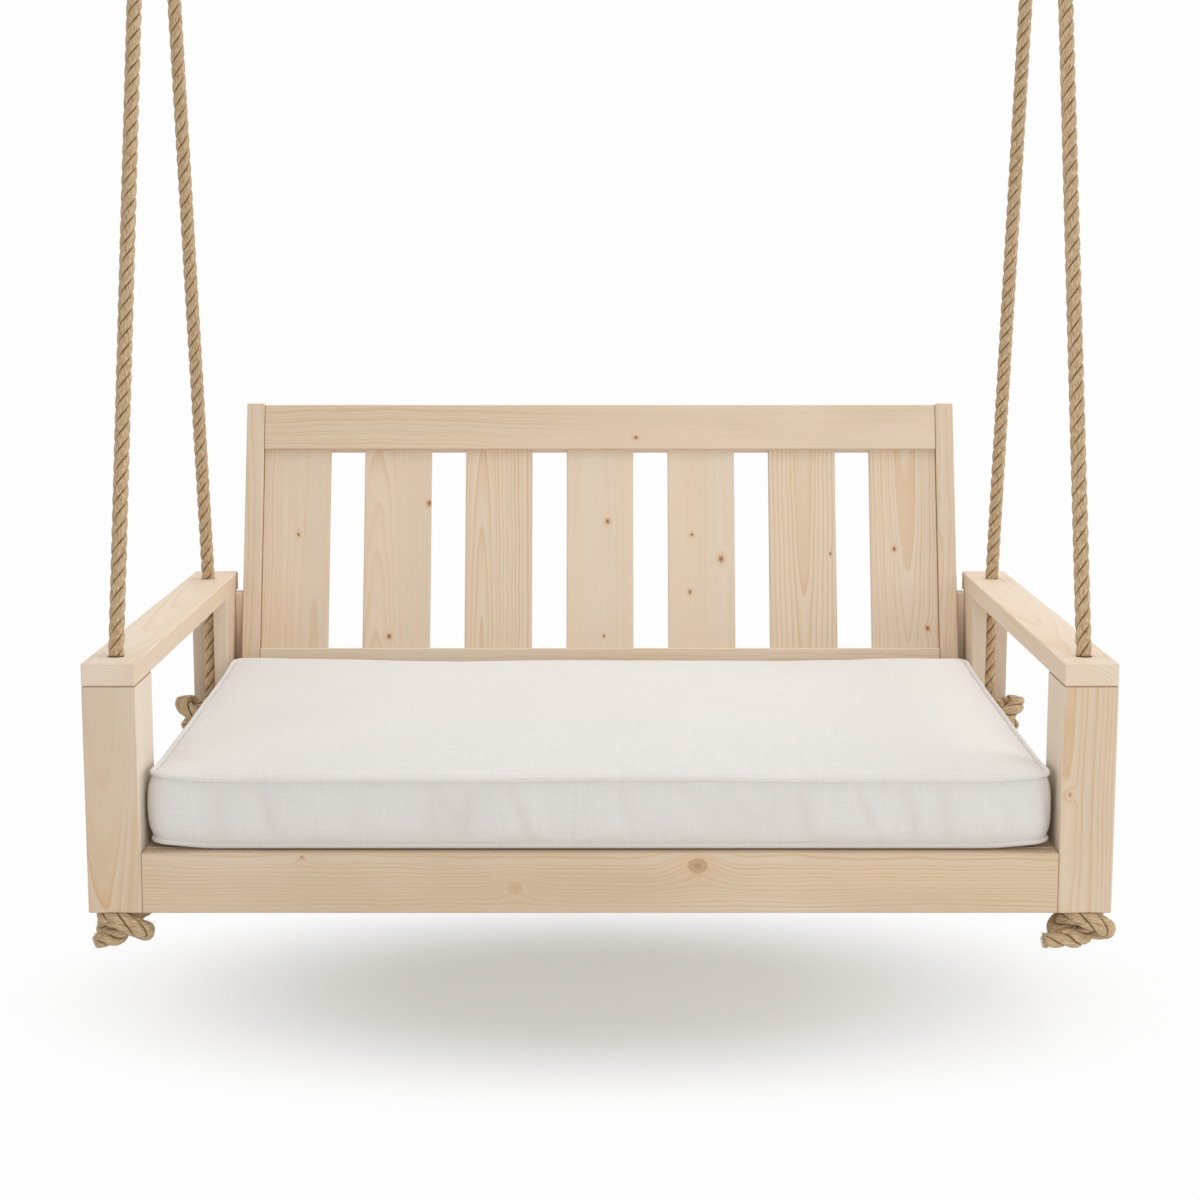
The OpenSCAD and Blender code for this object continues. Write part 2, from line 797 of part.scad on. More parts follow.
// Inset and height of each ring of the cover, from the underside to the crown
cover_rings = [[22, 0], [tuck + 2, 1], [tuck, piping_low],
    [tuck - 0.5, piping_low + 5], [-border_bulge * 0.4, piping_low + 16],
    [-border_bulge, piping_low + cushion_t * 0.36],
    [-border_bulge, piping_low + cushion_t * 0.62],
    [-border_bulge * 0.4, piping_high - 16], [tuck - 0.5, piping_high - 5],
    [tuck, piping_high], [tuck + 2, piping_high + 5],
    [30, piping_high + crown * 0.5], [80, piping_high + crown * 0.78],
    [160, piping_high + crown * 0.94], [300, piping_high + crown]];

foam_inset = 20;
foam_low = 12;
foam_high = cushion_t - 8;

module foam_block(grow) {
    low = [-cushion_half + foam_inset - grow, cushion_front + foam_inset - grow,
        cushion_z + foam_low - grow];
    high = [cushion_half - foam_inset + grow, cushion_far - foam_inset + grow,
        cushion_z + foam_high + grow];
    timber(low, high);
}

// The cover with its wadding: a crowned form, hollow where the foam lies
module cushion_cover() {
    rings = [for (c = cover_rings) lifted(outline(c[0]), c[1])];
    sides = len(rings[0]);
    color(linen) placed() difference() {
        polyhedron([for (ring = rings) each ring],
            concat(ring_faces(len(rings), sides), caps(len(rings), sides)));
        foam_block(seat_fit);
    }
}

module cushion_foam() {
    color("khaki") placed() foam_block(0);
}

// One closed ring of piping round the cushion
module piping(z) {
    path = lifted(outline(0), z);
    n = len(path);
    sides = 6;
    points = [for (i = [0 : n - 1])
        let (t = unit(path[(i + 1) % n] - path[(i + n - 1) % n]),
            out = unit(cross(t, [0, 0, 1])), up = cross(out, t))
        for (k = [0 : sides - 1])
            path[i] + piping_r * (cos(360 * k / sides) * out
                - sin(360 * k / sides) * up)];
    polyhedron(points, ring_faces(n, sides, true));
}

module cushion_piping() {
    color(linen) placed() {
        piping(piping_low);
        piping(piping_high);
    }
}

// ---------------------------------------------------------------- the nodes

front_rail();
back_rail();
side_rail(-1);  // side_rail_left
side_rail(1);  // side_rail_right
front_post(-1);  // front_post_left
front_post(1);  // front_post_right
back_post(-1);  // back_post_left
back_post(1);  // back_post_right
arm(-1);  // arm_left
arm(1);  // arm_right
ledger_front();
ledger_back();
seat_beam();
seat_slat(1);  // seat_slat_1
seat_slat(2);  // seat_slat_2
seat_slat(3);  // seat_slat_3
seat_slat(4);  // seat_slat_4
seat_slat(5);  // seat_slat_5
seat_slat(6);  // seat_slat_6
seat_slat(7);  // seat_slat_7
seat_slat(8);  // seat_slat_8
seat_slat(9);  // seat_slat_9
seat_slat(10);  // seat_slat_10
seat_slat(11);  // seat_slat_11
stile(-1);  // stile_left
stile(1);  // stile_right
back_top_rail();
back_bottom_rail();
back_slat(1);  // back_slat_1
back_slat(2);  // back_slat_2
back_slat(3);  // back_slat_3
back_slat(4);  // back_slat_4
back_slat(5);  // back_slat_5
back_slat(6);  // back_slat_6
back_slat(7);  // back_slat_7
back_spacers();
back_lag_screws();
frame_dowels();
arm_dowels();
seat_screws();
backrest_dowels();
hook(-1, front_hook_y);  // hook_front_left
hook(1, front_hook_y);  // hook_front_right
hook(-1, back_hook_y);  // hook_back_left
hook(1, back_hook_y);  // hook_back_right
thimble(-1, front_route, front_hang);  // thimble_front_left
thimble(1, front_route, front_hang);  // thimble_front_right
thimble(-1, back_route, back_hang);  // thimble_back_left
thimble(1, back_route, back_hang);  // thimble_back_right
rope(-1, front_route, front_hang);  // rope_front_left
rope(1, front_route, front_hang);  // rope_front_right
rope(-1, back_route, back_hang);  // rope_back_left
rope(1, back_route, back_hang);  // rope_back_right
rope_end(-1, front_rope_y, 0, half_out,  // rope_end_front_left
        knot_path(-1, 195, 330, tail_front_left, -tail_turn_up));
rope_end(1, front_rope_y, 0, half_out, knot_path(-1, 200, 339, tail_front_right));  // rope_end_front_right
rope_end(-1, back_rope_y, cheek_end, cheek_reach, knot_path(-1, 140, 313, tail_back));  // rope_end_back_left
rope_end(1, back_rope_y, cheek_end, cheek_reach, knot_path(1, 40, 313, tail_back));  // rope_end_back_right
cushion_cover();
cushion_foam();
cushion_piping();
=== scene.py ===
# %% [markdown]
# # A hanging swing bed
# The bench, its joints and its fasteners come from the CAD model as a fixed frame, in metres. The
# origin is under the ceiling, in the middle of the four hooks. This lesson dresses that frame: it
# adds the twisted ropes and the sewn cushion, and gives every board its own piece of pine.

# %% The frame
import math
import random

import bpy
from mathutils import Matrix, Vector
from mathutils import noise as noises


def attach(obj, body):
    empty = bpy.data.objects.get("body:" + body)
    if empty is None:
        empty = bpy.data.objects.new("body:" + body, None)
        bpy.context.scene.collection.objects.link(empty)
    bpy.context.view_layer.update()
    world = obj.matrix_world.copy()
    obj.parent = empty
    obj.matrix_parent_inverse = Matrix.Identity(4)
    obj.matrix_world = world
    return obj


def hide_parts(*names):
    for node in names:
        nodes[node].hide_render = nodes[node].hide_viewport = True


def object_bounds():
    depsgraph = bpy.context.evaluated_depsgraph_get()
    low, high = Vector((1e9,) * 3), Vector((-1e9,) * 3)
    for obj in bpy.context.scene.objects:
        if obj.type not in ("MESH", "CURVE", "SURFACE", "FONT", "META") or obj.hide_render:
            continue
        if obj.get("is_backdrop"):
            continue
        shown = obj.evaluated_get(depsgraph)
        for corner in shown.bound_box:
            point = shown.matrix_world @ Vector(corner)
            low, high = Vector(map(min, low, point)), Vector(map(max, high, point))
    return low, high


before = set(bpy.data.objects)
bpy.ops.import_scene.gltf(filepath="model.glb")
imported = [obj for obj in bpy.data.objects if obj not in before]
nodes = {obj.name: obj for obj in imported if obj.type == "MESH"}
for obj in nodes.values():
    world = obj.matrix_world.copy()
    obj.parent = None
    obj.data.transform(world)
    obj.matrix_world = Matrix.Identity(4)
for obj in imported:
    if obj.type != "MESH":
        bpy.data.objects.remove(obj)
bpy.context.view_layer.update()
scene = bpy.context.scene
scene.view_settings.view_transform = "Standard"
feet_z, face_y = -1.827, -0.597      # where the posts' feet and the front posts' face are in the frame


def bench(x, y, z):
    """A point measured from the posts' feet and the front posts' face, in the frame's own place."""
    return Vector((x, y + face_y, z + feet_z))


def on_bench(p):
    """The other way round: what a point of the frame measures on the bench."""
    return p.x, p.y - face_y, p.z - feet_z


def add_piece(name, data):
    piece = bpy.data.objects.new(name, data)
    scene.collection.objects.link(piece)
    return piece


def rounded(point):
    return [round(v, 3) for v in point]


# %% [markdown]
# ## Camera
# The photograph is taken from straight in front and a little above. A long lens keeps the posts
# nearly upright, so the camera stands about 3.7 m in front of the bench and looks down 8.65 degrees.

# %% Camera
look_down = 8.6525
camera_data = bpy.data.cameras.new("camera")
camera_data.lens = 69.38
camera_data.sensor_width = 36
camera_data.clip_end = 60
camera = add_piece("camera", camera_data)
camera.location = bench(0, -3.7265, 1.0944)
camera.rotation_euler = (math.radians(90 - look_down), 0, 0)
scene.camera = camera
print("camera at", rounded(camera.location))

# %% [markdown]
# ## Tools for meshes
# A piece is linked at the origin, unturned and unscaled, so that its place is in its mesh. A rope is
# swept along a path, and each ring of points is carried on from the one before without twisting.

# %% Tools for meshes
def new_mesh(name, points, edges=(), faces=()):
    mesh = bpy.data.meshes.new(name)
    mesh.from_pydata(points, edges, faces)
    mesh.update()
    return mesh


def between_rings(rings, count):
    """The faces that join each ring of points to the next one."""
    return [(i * count + k, i * count + m, (i + 1) * count + m, (i + 1) * count + k)
            for i in range(rings - 1) for k in range(count) for m in [(k + 1) % count]]


def smooth(mesh):
    mesh.polygons.foreach_set("use_smooth", [True] * len(mesh.polygons))


def clamped(value):
    return max(0.0, min(1.0, value))


def smooth_path(points, step):
    """Points about one step apart on a smooth curve through the given points."""
    points = [Vector(p) for p in points]
    ends = [2 * points[0] - points[1]] + points + [2 * points[-1] - points[-2]]
    path = []
    for a, b, c, d in zip(ends, ends[1:], ends[2:], ends[3:]):
        n = max(1, round((c - b).length / step))
        for i in range(n):
            t = i / n
            path.append(0.5 * ((2 * b) + (c - a) * t + (2 * a - 5 * b + 4 * c - d) * t * t
                               + (3 * b - a - 3 * c + d) * t ** 3))
    path.append(points[-1])
    return path


def path_length(path):
    return sum((b - a).length for a, b in zip(path, path[1:]))


def carried_frames(path, across):
    """A pair of directions across the path at each of its points."""
    frames = []
    for i in range(len(path)):
        ahead = (path[min(i + 1, len(path) - 1)] - path[max(i - 1, 0)]).normalized()
        across = (across - across.dot(ahead) * ahead).normalized()
        frames.append((across.copy(), ahead.cross(across)))
    return frames


print("a metre in steps of 10 cm:", len(smooth_path([(0, 0, 0), (1, 0, 0)], 0.1)), "points")

# %% [markdown]
# ## The ropes' routes
# Each rope hangs as a straight line between the hole in an arm and a hook, where it is spliced round
# a thimble. Below the arm it goes on through the post and ends in an overhand knot. The numbers are
# the same as in the CAD model, because a rope has to lie where its solid lies.

# %% The ropes' routes
rope_d = 0.025
rope_r = rope_d / 2
rope_x = 0.8065
arm_top = 0.422
hook_z = 1.722
eye_r = 0.034
throat_angle = 35
throat = eye_r / math.sin(math.radians(throat_angle))
front_line = (bench(rope_x, 0.070, arm_top), bench(rope_x, 0.448, hook_z))
back_line = (bench(rope_x, 0.988, arm_top), bench(rope_x, 0.7445, hook_z))
front_hang, back_hang = 0.0114, 0.0109      # how far an eye's middle hangs below its rope's upper end
hang_foot = rope_r * 0.96                   # how far its rounded foot reaches down into the arm's hole
seat_fit = 0.0003                           # the gap that is left where a rope bears on another part


def mirrored(points):
    return [Vector((-p.x, p.y, p.z)) for p in points]


def rope_route(line, hang, turn_steps=14):
    """Up from the arm to the throat, round the thimble, and back to the throat."""
    along = (line[1] - line[0]).normalized()
    aside = Vector((1, 0, 0)).cross(along)
    middle = line[1] - hang * along
    straight = [line[0] + along * s for s in (0.0, 0.3, 0.6, 0.9, 1.15)]
    low, into_throat = middle - along * (throat + 0.02), middle - along * throat * 0.93
    degrees = [-throat_angle + k * (180 + 2 * throat_angle) / turn_steps for k in range(turn_steps + 1)]
    turn = [middle + eye_r * (math.cos(a) * aside + math.sin(a) * along)
            for a in map(math.radians, degrees)]
    return straight + [low, into_throat] + turn + [into_throat - aside * 0.003, low]


def knot_route(turn, facing, last, tail, dip=0.2):
    """The overhand knot: three windings round a ring, twice round the rope's line."""
    ring, wind, rise, grow, step = 34.0, 16.0, 17.0, 2.0, 8.8
    grow_from, grow_over = 60, 270
    inner = math.radians(120)
    mid = Vector((-(ring - wind) * math.cos(inner), -(ring - wind) * math.sin(inner), 0))
    wound = []
    a = 66.0
    while a < last + 0.1:
        t = math.radians(a)
        r = ring + grow * (a - grow_from) / grow_over + wind * math.cos(3 * t)
        wound.append(mid + Vector((r * math.cos(2 * t), r * math.sin(2 * t), rise * math.sin(3 * t))))
        a += step
    way = ((wound[-1] - wound[-2]).normalized() - Vector((0, 0, dip))).normalized()
    wound += [wound[-1] + way * tail / 2, wound[-1] + way * tail]
    c, s = math.cos(math.radians(facing)), math.sin(math.radians(facing))
    # The opened strands fill out the knot a little further than its solid
    wider, taller, lift = 1.06, 1.12, 2.0
    return [Vector((wider * (p.x * c - turn * p.y * s), wider * (p.x * s + turn * p.y * c),
                    taller * p.z + lift)) / 1000 for p in wound]


def rope_end_route(side, y, mid, knot, knot_top=0.060, apart=0.050):
    """Down from the hanging part's lower end, through the post, and into the knot."""
    z = arm_top - hang_foot - seat_fit
    down = []
    while z > mid + knot_top:
        down.append(Vector((0, 0, z - mid)))
        z -= apart
    down += [Vector((0, 0, 0.036)), Vector((0, 0, 0.018))]
    place = bench(side * rope_x, y, mid)
    return [place + p for p in down + knot]


# For each corner: its side, its place from front to back, the height of the wood that the knot bears
# up against, the height of the knot's middle, and the knot's winding and tail
ends = {"front_left": (-1, 0.070, 0.0, -0.03028, (-1, 195, 330, 20, -0.10)),
        "front_right": (1, 0.070, 0.0, -0.03010, (-1, 200, 339, 38)),
        "back_left": (-1, 0.988, 0.178, 0.14731, (-1, 140, 313, 26)),
        "back_right": (1, 0.988, 0.178, 0.14731, (1, 40, 313, 26))}
print("rope from arm to hook:", round((front_line[1] - front_line[0]).length, 3), "m")

# %% [markdown]
# ## Three-strand rope
# The real rope is three strands laid together to the right: on an upright rope the strands climb to
# the right. Three tubes would cross each other inside, so the rope is one skin instead: an outline
# with three round lobes that turns as it goes along the path. Where the strands are tucked back in
# the splice, the outline goes over to six lobes. Each point also keeps its place on the straight
# rope, and how deep it lies between the strands, for the material to read.

# %% Three-strand rope
lay_length = 0.083
skin_r = 0.0134           # its hairy surface stands a little over the rope's own 25 mm
groove = 0.0050           # how deep between the strands the rope is darkest
splice_r, splice_groove, splice_dark = 0.0162, 0.0075, 0.0062
rope_sides = 36
longer_lay, fatter = 0.15, 0.22      # how much the lay and the strands grow where they are opened
end_bulge, end_depth = 0.0025, 0.75


def off_lobe(angle, lobes):
    """How far an angle lies from the middle of its lobe: 0 there and 1 in the groove beside it."""
    half = math.pi / lobes
    return abs((angle + half) % (2 * half) - half) / half


def lobe_reach(angle):
    """The outline of the three strands, pressed flat on each other, as a distance from the middle."""
    q = off_lobe(angle, 3)
    return skin_r * (1 - 0.16 * q ** 2 - 0.27 * q ** 8)


def splice_reach(angle):
    """The outline where the strands are tucked back in."""
    return splice_r - splice_groove * off_lobe(angle, 6) ** 2


def outline_angles(sides):
    """Angles round the rope, closer together at the grooves, where the outline turns sharply."""
    each = sides // 3
    shares = [2 * k / each - 1 for k in range(each)]
    return [2 * math.pi * lobe / 3 + math.pi / 3 * math.copysign(1 - (1 - abs(u)) ** 1.6, u)
            for lobe in range(3) for u in shares]


def laid_rope(name, route, step, splice=None, start_turn=0.0, opening=None, seat=None):
    """The rope's skin along a route. Splice and opening say how far the strands are tucked in or
    opened at each place, and opened strands lie flat under their seat."""
    path = smooth_path(route, step)
    sides, angles = rope_sides, outline_angles(rope_sides)
    verts, place, depth = [], [], []
    s, turned = 0.0, start_turn
    for i, (p, (u, v)) in enumerate(zip(path, carried_frames(path, Vector((1, 0, 0))))):
        opened = opening(s) if opening else 0.0
        if i:
            ahead = (p - path[i - 1]).length
            s += ahead
            turned += 2 * math.pi * ahead / (lay_length * (1 + longer_lay * opened))
        tucked = splice(s) if splice else 0.0
        fat = 1 + fatter * opened
        for a in angles:
            r = (1 - tucked) * lobe_reach(a) + tucked * splice_reach(a)
            b = a + turned
            point = p + r * fat * (math.cos(b) * u + math.sin(b) * v)
            if seat and fat > 1.01:
                point.z = min(point.z, seat)
            verts.append(point)
            place.append((rope_r * math.cos(b), rope_r * math.sin(b), s))
            depth.append(clamped((skin_r - r) / groove) * (1 - tucked)
                         + tucked * min(1.0, (splice_r - r) / splice_dark))
    faces = between_rings(len(path), sides)
    for ring, back in ((0, True), (len(path) - 1, False)):
        way = (path[1] - path[0]) if back else (path[-2] - path[-1])
        verts.append(path[ring] - way.normalized() * end_bulge)
        place.append((0, 0, 0.0 if back else s))
        depth.append(end_depth)
        middle = len(verts) - 1
        for k in range(sides):
            a, b = ring * sides + k, ring * sides + (k + 1) % sides
            faces.append((middle, b, a) if back else (middle, a, b))
    mesh = new_mesh(name, verts, faces=faces)
    marks = mesh.attributes.new("rope_place", "FLOAT_VECTOR", "POINT")
    marks.data.foreach_set("vector", [c for v in place for c in v])
    mesh.attributes.new("rope_depth", "FLOAT", "POINT").data.foreach_set("value", depth)
    smooth(mesh)
    return add_piece(name, mesh), path, s


print("outline from", round(lobe_reach(math.pi / 3), 4), "to", lobe_reach(0.0), "m")

# %% The hanging ropes
splice_length, splice_below, splice_above = 0.088, 0.03, 0.012
ropes, rope_ends = {}, {}
for corner, (side, *_) in ends.items():
    line, hang = (front_line, front_hang) if "front" in corner else (back_line, back_hang)
    if side < 0:
        line = mirrored(line)
    start = line[0]
    reach = (line[1] - start).length - hang - throat

    def splice_here(s, stop=reach):
        """From 0 outside the splice to 1 in it, where the strands are tucked in."""
        return (clamped((s - stop + splice_length) / splice_below)
                * clamped((stop + 0.004 - s) / splice_above))

    rope, path, length = laid_rope("rope_" + corner + "_laid", rope_route(line, hang), 0.004,
                                   splice=splice_here, start_turn=0.7 * len(ropes))
    ropes[corner] = rope
    body = "front_ropes" if "front" in corner else "back_ropes"
    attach(rope, body)
    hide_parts("rope_" + corner)
    print(rope.name, "length", round(length, 3), "m")

# %% [markdown]
# The rope's lower end starts where the hanging part stops, in the arm's hole. It is a piece of its
# own, because it stays with the bench while the hanging part swings.

# %% Rope ends and knots
fine_step = 0.0025
opens_over, closed_end = 0.03, 0.012
for corner, (side, y, seat, mid, knot) in ends.items():
    node = "rope_end_" + corner
    route = rope_end_route(side, y, mid, knot_route(*knot))
    under, stop = arm_top - seat, path_length(smooth_path(route, fine_step))

    def opening(s, under=under, stop=stop):
        """The strands open below the wood and close again at the cut."""
        return max(0.0, min(1.0, (s - under) / opens_over, (stop - s - closed_end) / opens_over))

    rope_end, path, length = laid_rope(node + "_laid", route, fine_step, opening=opening,
                                       start_turn=0.7 * len(rope_ends), seat=seat + feet_z - seat_fit)
    rope_ends[corner] = rope_end
    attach(rope_end, "bench")
    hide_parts(node)
    tuple(bench(side * rope_x, y, arm_top - 0.012))
    print(rope_end.name, "length", round(length, 3), "m")

# %% [markdown]
# ## Tools for materials
# A finish is a tree of nodes. These helpers keep the trees short to read: one makes a node and fills
# it in, and what a node gives can be added and multiplied like a plain number. What several finishes
# share, such as the grain, is a group.

# %% Tools for materials
def plug(value, socket):
    """Gives an input its value: a link from another node, or a plain number, vector or colour."""
    value = getattr(value, "socket", value)
    if isinstance(value, bpy.types.NodeSocket):
        socket.id_data.links.new(value, socket)
    elif value is not None:
        socket.default_value = (*value, 1.0) if socket.type == "RGBA" else value


def feed(node, *inputs, **named):
    """Fills in a node: its first inputs in order, others by name with _ for a space. A name in small
    letters is a setting and not an input."""
    for name, value in named.items():
        if name[0].isupper():
            plug(value, node.inputs[name.replace("_", " ")])
        else:
            setattr(node, name, value)
    for value, socket in zip(inputs, node.inputs):
        plug(value, socket)
    return node


def put(tree, kind, *inputs, **named):
    return feed(tree.nodes.new(kind), *inputs, **named)


def worked(operation, *numbers):
    """A Math node. At least one of its numbers is a value."""
    tree = next(n.tree for n in numbers if isinstance(n, Value))
    return Value(put(tree, "ShaderNodeMath", *numbers, operation=operation).outputs[0])


class Value:
    """What a socket gives. Values are added and multiplied as plain numbers are, and each step of it
    makes a Math node in their tree."""

    def __init__(self, socket):
        self.socket, self.tree = socket, socket.id_data

    def __add__(self, other):
        return worked("ADD", self, other)

    def __sub__(self, other):
        return worked("SUBTRACT", self, other)

    def __rsub__(self, other):
        return worked("SUBTRACT", other, self)

    def __mul__(self, other):
        return worked("MULTIPLY", self, other)

    def __truediv__(self, other):
        return worked("DIVIDE", self, other)

    def __pow__(self, other):
        return worked("POWER", self, other)

    def __abs__(self):
        return worked("ABSOLUTE", self)


def own_place(tree):
    """A point's place on its own object."""
    return Value(put(tree, "ShaderNodeTexCoord").outputs["Object"])


def marked(tree, name, part="Fac"):
    """What a mesh keeps for each of its points under a name."""
    return Value(put(tree, "ShaderNodeAttribute", attribute_name=name).outputs[part])


def parts(vector):
    return [Value(o) for o in put(vector.tree, "ShaderNodeSeparateXYZ", vector).outputs]


def stretched(vector, x, y, z):
    return Value(put(vector.tree, "ShaderNodeVectorMath", vector, (x, y, z),
                     operation="MULTIPLY").outputs[0])


def fade(value, low, high, out_low=0.0, out_high=1.0):
    """Goes smoothly from out_low to out_high while value goes from low to high."""
    return Value(put(value.tree, "ShaderNodeMapRange", value, low, high, out_low, out_high,
                     interpolation_type="SMOOTHSTEP").outputs[0])


def blend(share, under, over):
    """One colour with a share of another over it."""
    n = put(share.tree, "ShaderNodeMix", share, data_type="RGBA", clamp_factor=True)
    plug(under, n.inputs[6])
    plug(over, n.inputs[7])
    return Value(n.outputs[2])


def noise(vector, scale, detail=3.0, rough=0.55, seed=0.0):
    """A cloudy number between 0 and 1. A larger scale makes the clouds smaller."""
    return Value(put(vector.tree, "ShaderNodeTexNoise", noise_dimensions="4D", Vector=vector, Scale=scale,
                     Detail=detail, Roughness=rough, W=seed).outputs["Fac"])


def raised(shader, height, strength, distance):
    bump = put(height.tree, "ShaderNodeBump", Strength=strength, Distance=distance, Height=height)
    feed(shader, Normal=bump.outputs[0])


def new_tree(name, kind, inputs, outputs):
    """A tree with named inputs and outputs. An input has a first value, or else the word for its kind."""
    tree = bpy.data.node_groups.new(name, kind)
    kinds = {float: "Float", int: "Int", tuple: "Vector"}
    for way, sockets in (("INPUT", inputs), ("OUTPUT", outputs)):
        for label, value in sockets.items():
            form = kinds.get(type(value), value)
            socket = tree.interface.new_socket(label, in_out=way, socket_type="NodeSocket" + form)
            if form is not value:
                socket.default_value = value
    given = {s.name: Value(s) for s in tree.nodes.new("NodeGroupInput").outputs if s.name}
    return tree, given, tree.nodes.new("NodeGroupOutput")


def new_finish(name, roughness=0.6):
    """A material with its shader, ready for colour, roughness and bumps."""
    finish = bpy.data.materials.new(name)
    finish.use_nodes = True
    tree = finish.node_tree
    return finish, tree, feed(tree.nodes["Principled BSDF"], Roughness=roughness)


def wear(piece, finish):
    piece.data.materials.clear()
    piece.data.materials.append(finish)


print("materials of the frame:", len(bpy.data.materials))

# %% [markdown]
# ## Tools for Geometry Nodes
# What repeats by a rule, such as loose fibres on a rope or stitches along a seam, is a tree of
# Geometry Nodes: points are spread on a surface or along a path, and a small shape is set on each.
# The tree names its sizes, so that they can be changed in one place. Its result is turned into a
# plain mesh, because instances and modifiers are not kept when the model is exported.

# %% Tools for Geometry Nodes
def new_shaper(name, sizes):
    """A tree that takes a mesh and named sizes. It ends in real geometry with its material set."""
    inputs = {"Geometry": "Geometry", **sizes, "Finish": "Material"}
    tree, given, result = new_tree(name, "GeometryNodeTree", inputs, {"Geometry": "Geometry"})
    real = put(tree, "GeometryNodeRealizeInstances")
    finish = put(tree, "GeometryNodeSetMaterial", real.outputs[0], Material=given["Finish"])
    feed(result, finish.outputs[0])
    return tree, given, real


def swept(path, radius, sides, capped=False):
    """A round tube along a path."""
    edge = put(path.tree, "GeometryNodeCurvePrimitiveCircle", Resolution=sides, Radius=radius)
    return Value(put(path.tree, "GeometryNodeCurveToMesh", Curve=path, Profile_Curve=edge.outputs[0],
                     Fill_Caps=capped).outputs[0])


def astray(way, stray):
    """A direction with a random one added to it."""
    return Value(put(way.tree, "ShaderNodeVectorMath", stray, way, operation="ADD").outputs[0])


def set_on(points, shape, way, **named):
    """The shape on each point, with its Z axis turned along a way."""
    turned = put(points.tree, "FunctionNodeAlignRotationToVector", axis="Z", Vector=way)
    return put(points.tree, "GeometryNodeInstanceOnPoints", Points=points, Instance=shape,
               Rotation=turned.outputs[0], **named).outputs[0]


def shaped(name, start, tree, body, slot, **sizes):
    """What the tree makes from a starting mesh, as a plain mesh that rides on a body."""
    host = add_piece(name + "_start", start)
    shaper = host.modifiers.new("shaper", "NODES")
    shaper.node_group = tree
    for item in tree.interface.items_tree:
        key = item.name.replace(" ", "_")
        if item.in_out == "INPUT" and key in sizes:
            shaper[item.identifier] = sizes[key]
    made = host.evaluated_get(bpy.context.evaluated_depsgraph_get())
    mesh = bpy.data.meshes.new_from_object(made)
    host.modifiers.remove(shaper)
    bpy.data.objects.remove(host)
    mesh.name = name
    wearing = [m for m in mesh.materials if m]
    mesh.materials.clear()
    mesh.materials.append(wearing[-1])
    mesh.polygons.foreach_set("material_index", [0] * len(mesh.polygons))
    smooth(mesh)
    piece = add_piece(name, mesh)
    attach(piece, body)
    print(name, "faces:", len(mesh.polygons))
    return piece


def joined(name, pieces, keep):
    """One starting mesh from the wanted faces of several pieces."""
    verts, faces = [], []
    for piece in pieces:
        mesh, first = piece.data, len(verts)
        verts += [v.co.copy() for v in mesh.vertices]
        faces += [tuple(first + i for i in f.vertices) for f in mesh.polygons if keep(f, mesh)]
    return new_mesh(name, verts, faces=faces)


print("trees so far:", len(bpy.data.node_groups))

# %% [markdown]
# ## Rope fibre
# The rope is a pale tan fibre. Its yarns run along the rope, not along the strands, because the lay
# of the yarns and the lay of the strands cancel out. So the pattern is a noise in the straight
# rope's own space, long along the rope and short across it. The grooves are painted darker: this is
# painted shade, for the light that does not reach them.

# %% Rope fibre
fibre, tree, shader = new_finish("rope_fibre", 0.85)
where = marked(tree, "rope_place", "Vector")
deep = marked(tree, "rope_depth")
yarn = noise(stretched(where, 1.0, 1.0, 0.10), 900, 4.0, 0.6)
patch = noise(where, 38, 2.0, 0.5, 3.0)
speck = noise(stretched(where, 1.0, 1.0, 0.35), 1500, 2.0, 0.5, 7.0)
tone = blend(fade(yarn, 0.36, 0.64), (0.34, 0.215, 0.105), (0.76, 0.585, 0.375))
tone = blend(fade(patch, 0.35, 0.75, 0.0, 0.40), tone, (0.56, 0.405, 0.235))
tone = blend(fade(speck, 0.62, 0.80, 0.0, 0.5), tone, (0.86, 0.74, 0.55))
# Painted shade: the grooves between the strands, and the middle of a cut end, are darkened in the colour
tone = blend(fade(deep, 0.45, 1.0, 0.0, 0.94), tone, (0.135, 0.060, 0.018))
raised(shader, yarn + speck * 0.5, 0.9, 0.0012)
feed(shader, Base_Color=tone, Sheen_Weight=0.08, Sheen_Roughness=0.5, Specular_IOR_Level=0.2)
for rope in [*ropes.values(), *rope_ends.values()]:
    wear(rope, fibre)
print("rope pieces:", len(ropes) + len(rope_ends))

# %% [markdown]
# ## Loose fibres
# A rope of plant fibre is never quite smooth: short ends of fibre stand off it all along, and at a cut
# end the yarns spread like a brush. Drawing them by hand would take thousands of strokes, so a tree
# spreads points over the rope's skin and sets a short bent tube on each, leaning its own way.

# %% The fibres' tree
loose, given, into = new_shaper("loose fibres", {"Per Square Metre": 3000.0, "Length": 0.006,
                                                 "Thickness": 0.00016, "Spread": 0.9, "Seed": 5})
points = put(loose, "GeometryNodeDistributePointsOnFaces", Mesh=given["Geometry"],
             Density=given["Per Square Metre"], Seed=given["Seed"])
bends = {"Start": (0.0, -0.08), "Middle": (0.0, 0.55), "End": (0.38, 0.90)}
bent = put(loose, "GeometryNodeCurveQuadraticBezier", Resolution=4, **{
    label: put(loose, "ShaderNodeCombineXYZ", X=given["Length"] * x, Z=given["Length"] * z).outputs[0]
    for label, (x, z) in bends.items()})
tube = swept(Value(bent.outputs[0]), given["Thickness"], 4, capped=True)
stray_way = put(loose, "FunctionNodeRandomValue", (-1, -1, -1), (1, 1, 1), data_type="FLOAT_VECTOR",
                Seed=given["Seed"])
wild = put(loose, "ShaderNodeVectorMath", stray_way.outputs[0], operation="SCALE", Scale=given["Spread"])
varied = put(loose, "FunctionNodeRandomValue", None, None, 0.45, 1.25, data_type="FLOAT",
             Seed=given["Seed"] + 1.0)
feed(into, set_on(Value(points.outputs["Points"]), tube,
                  astray(Value(points.outputs["Normal"]), wild.outputs[0]), Scale=varied.outputs[1]))
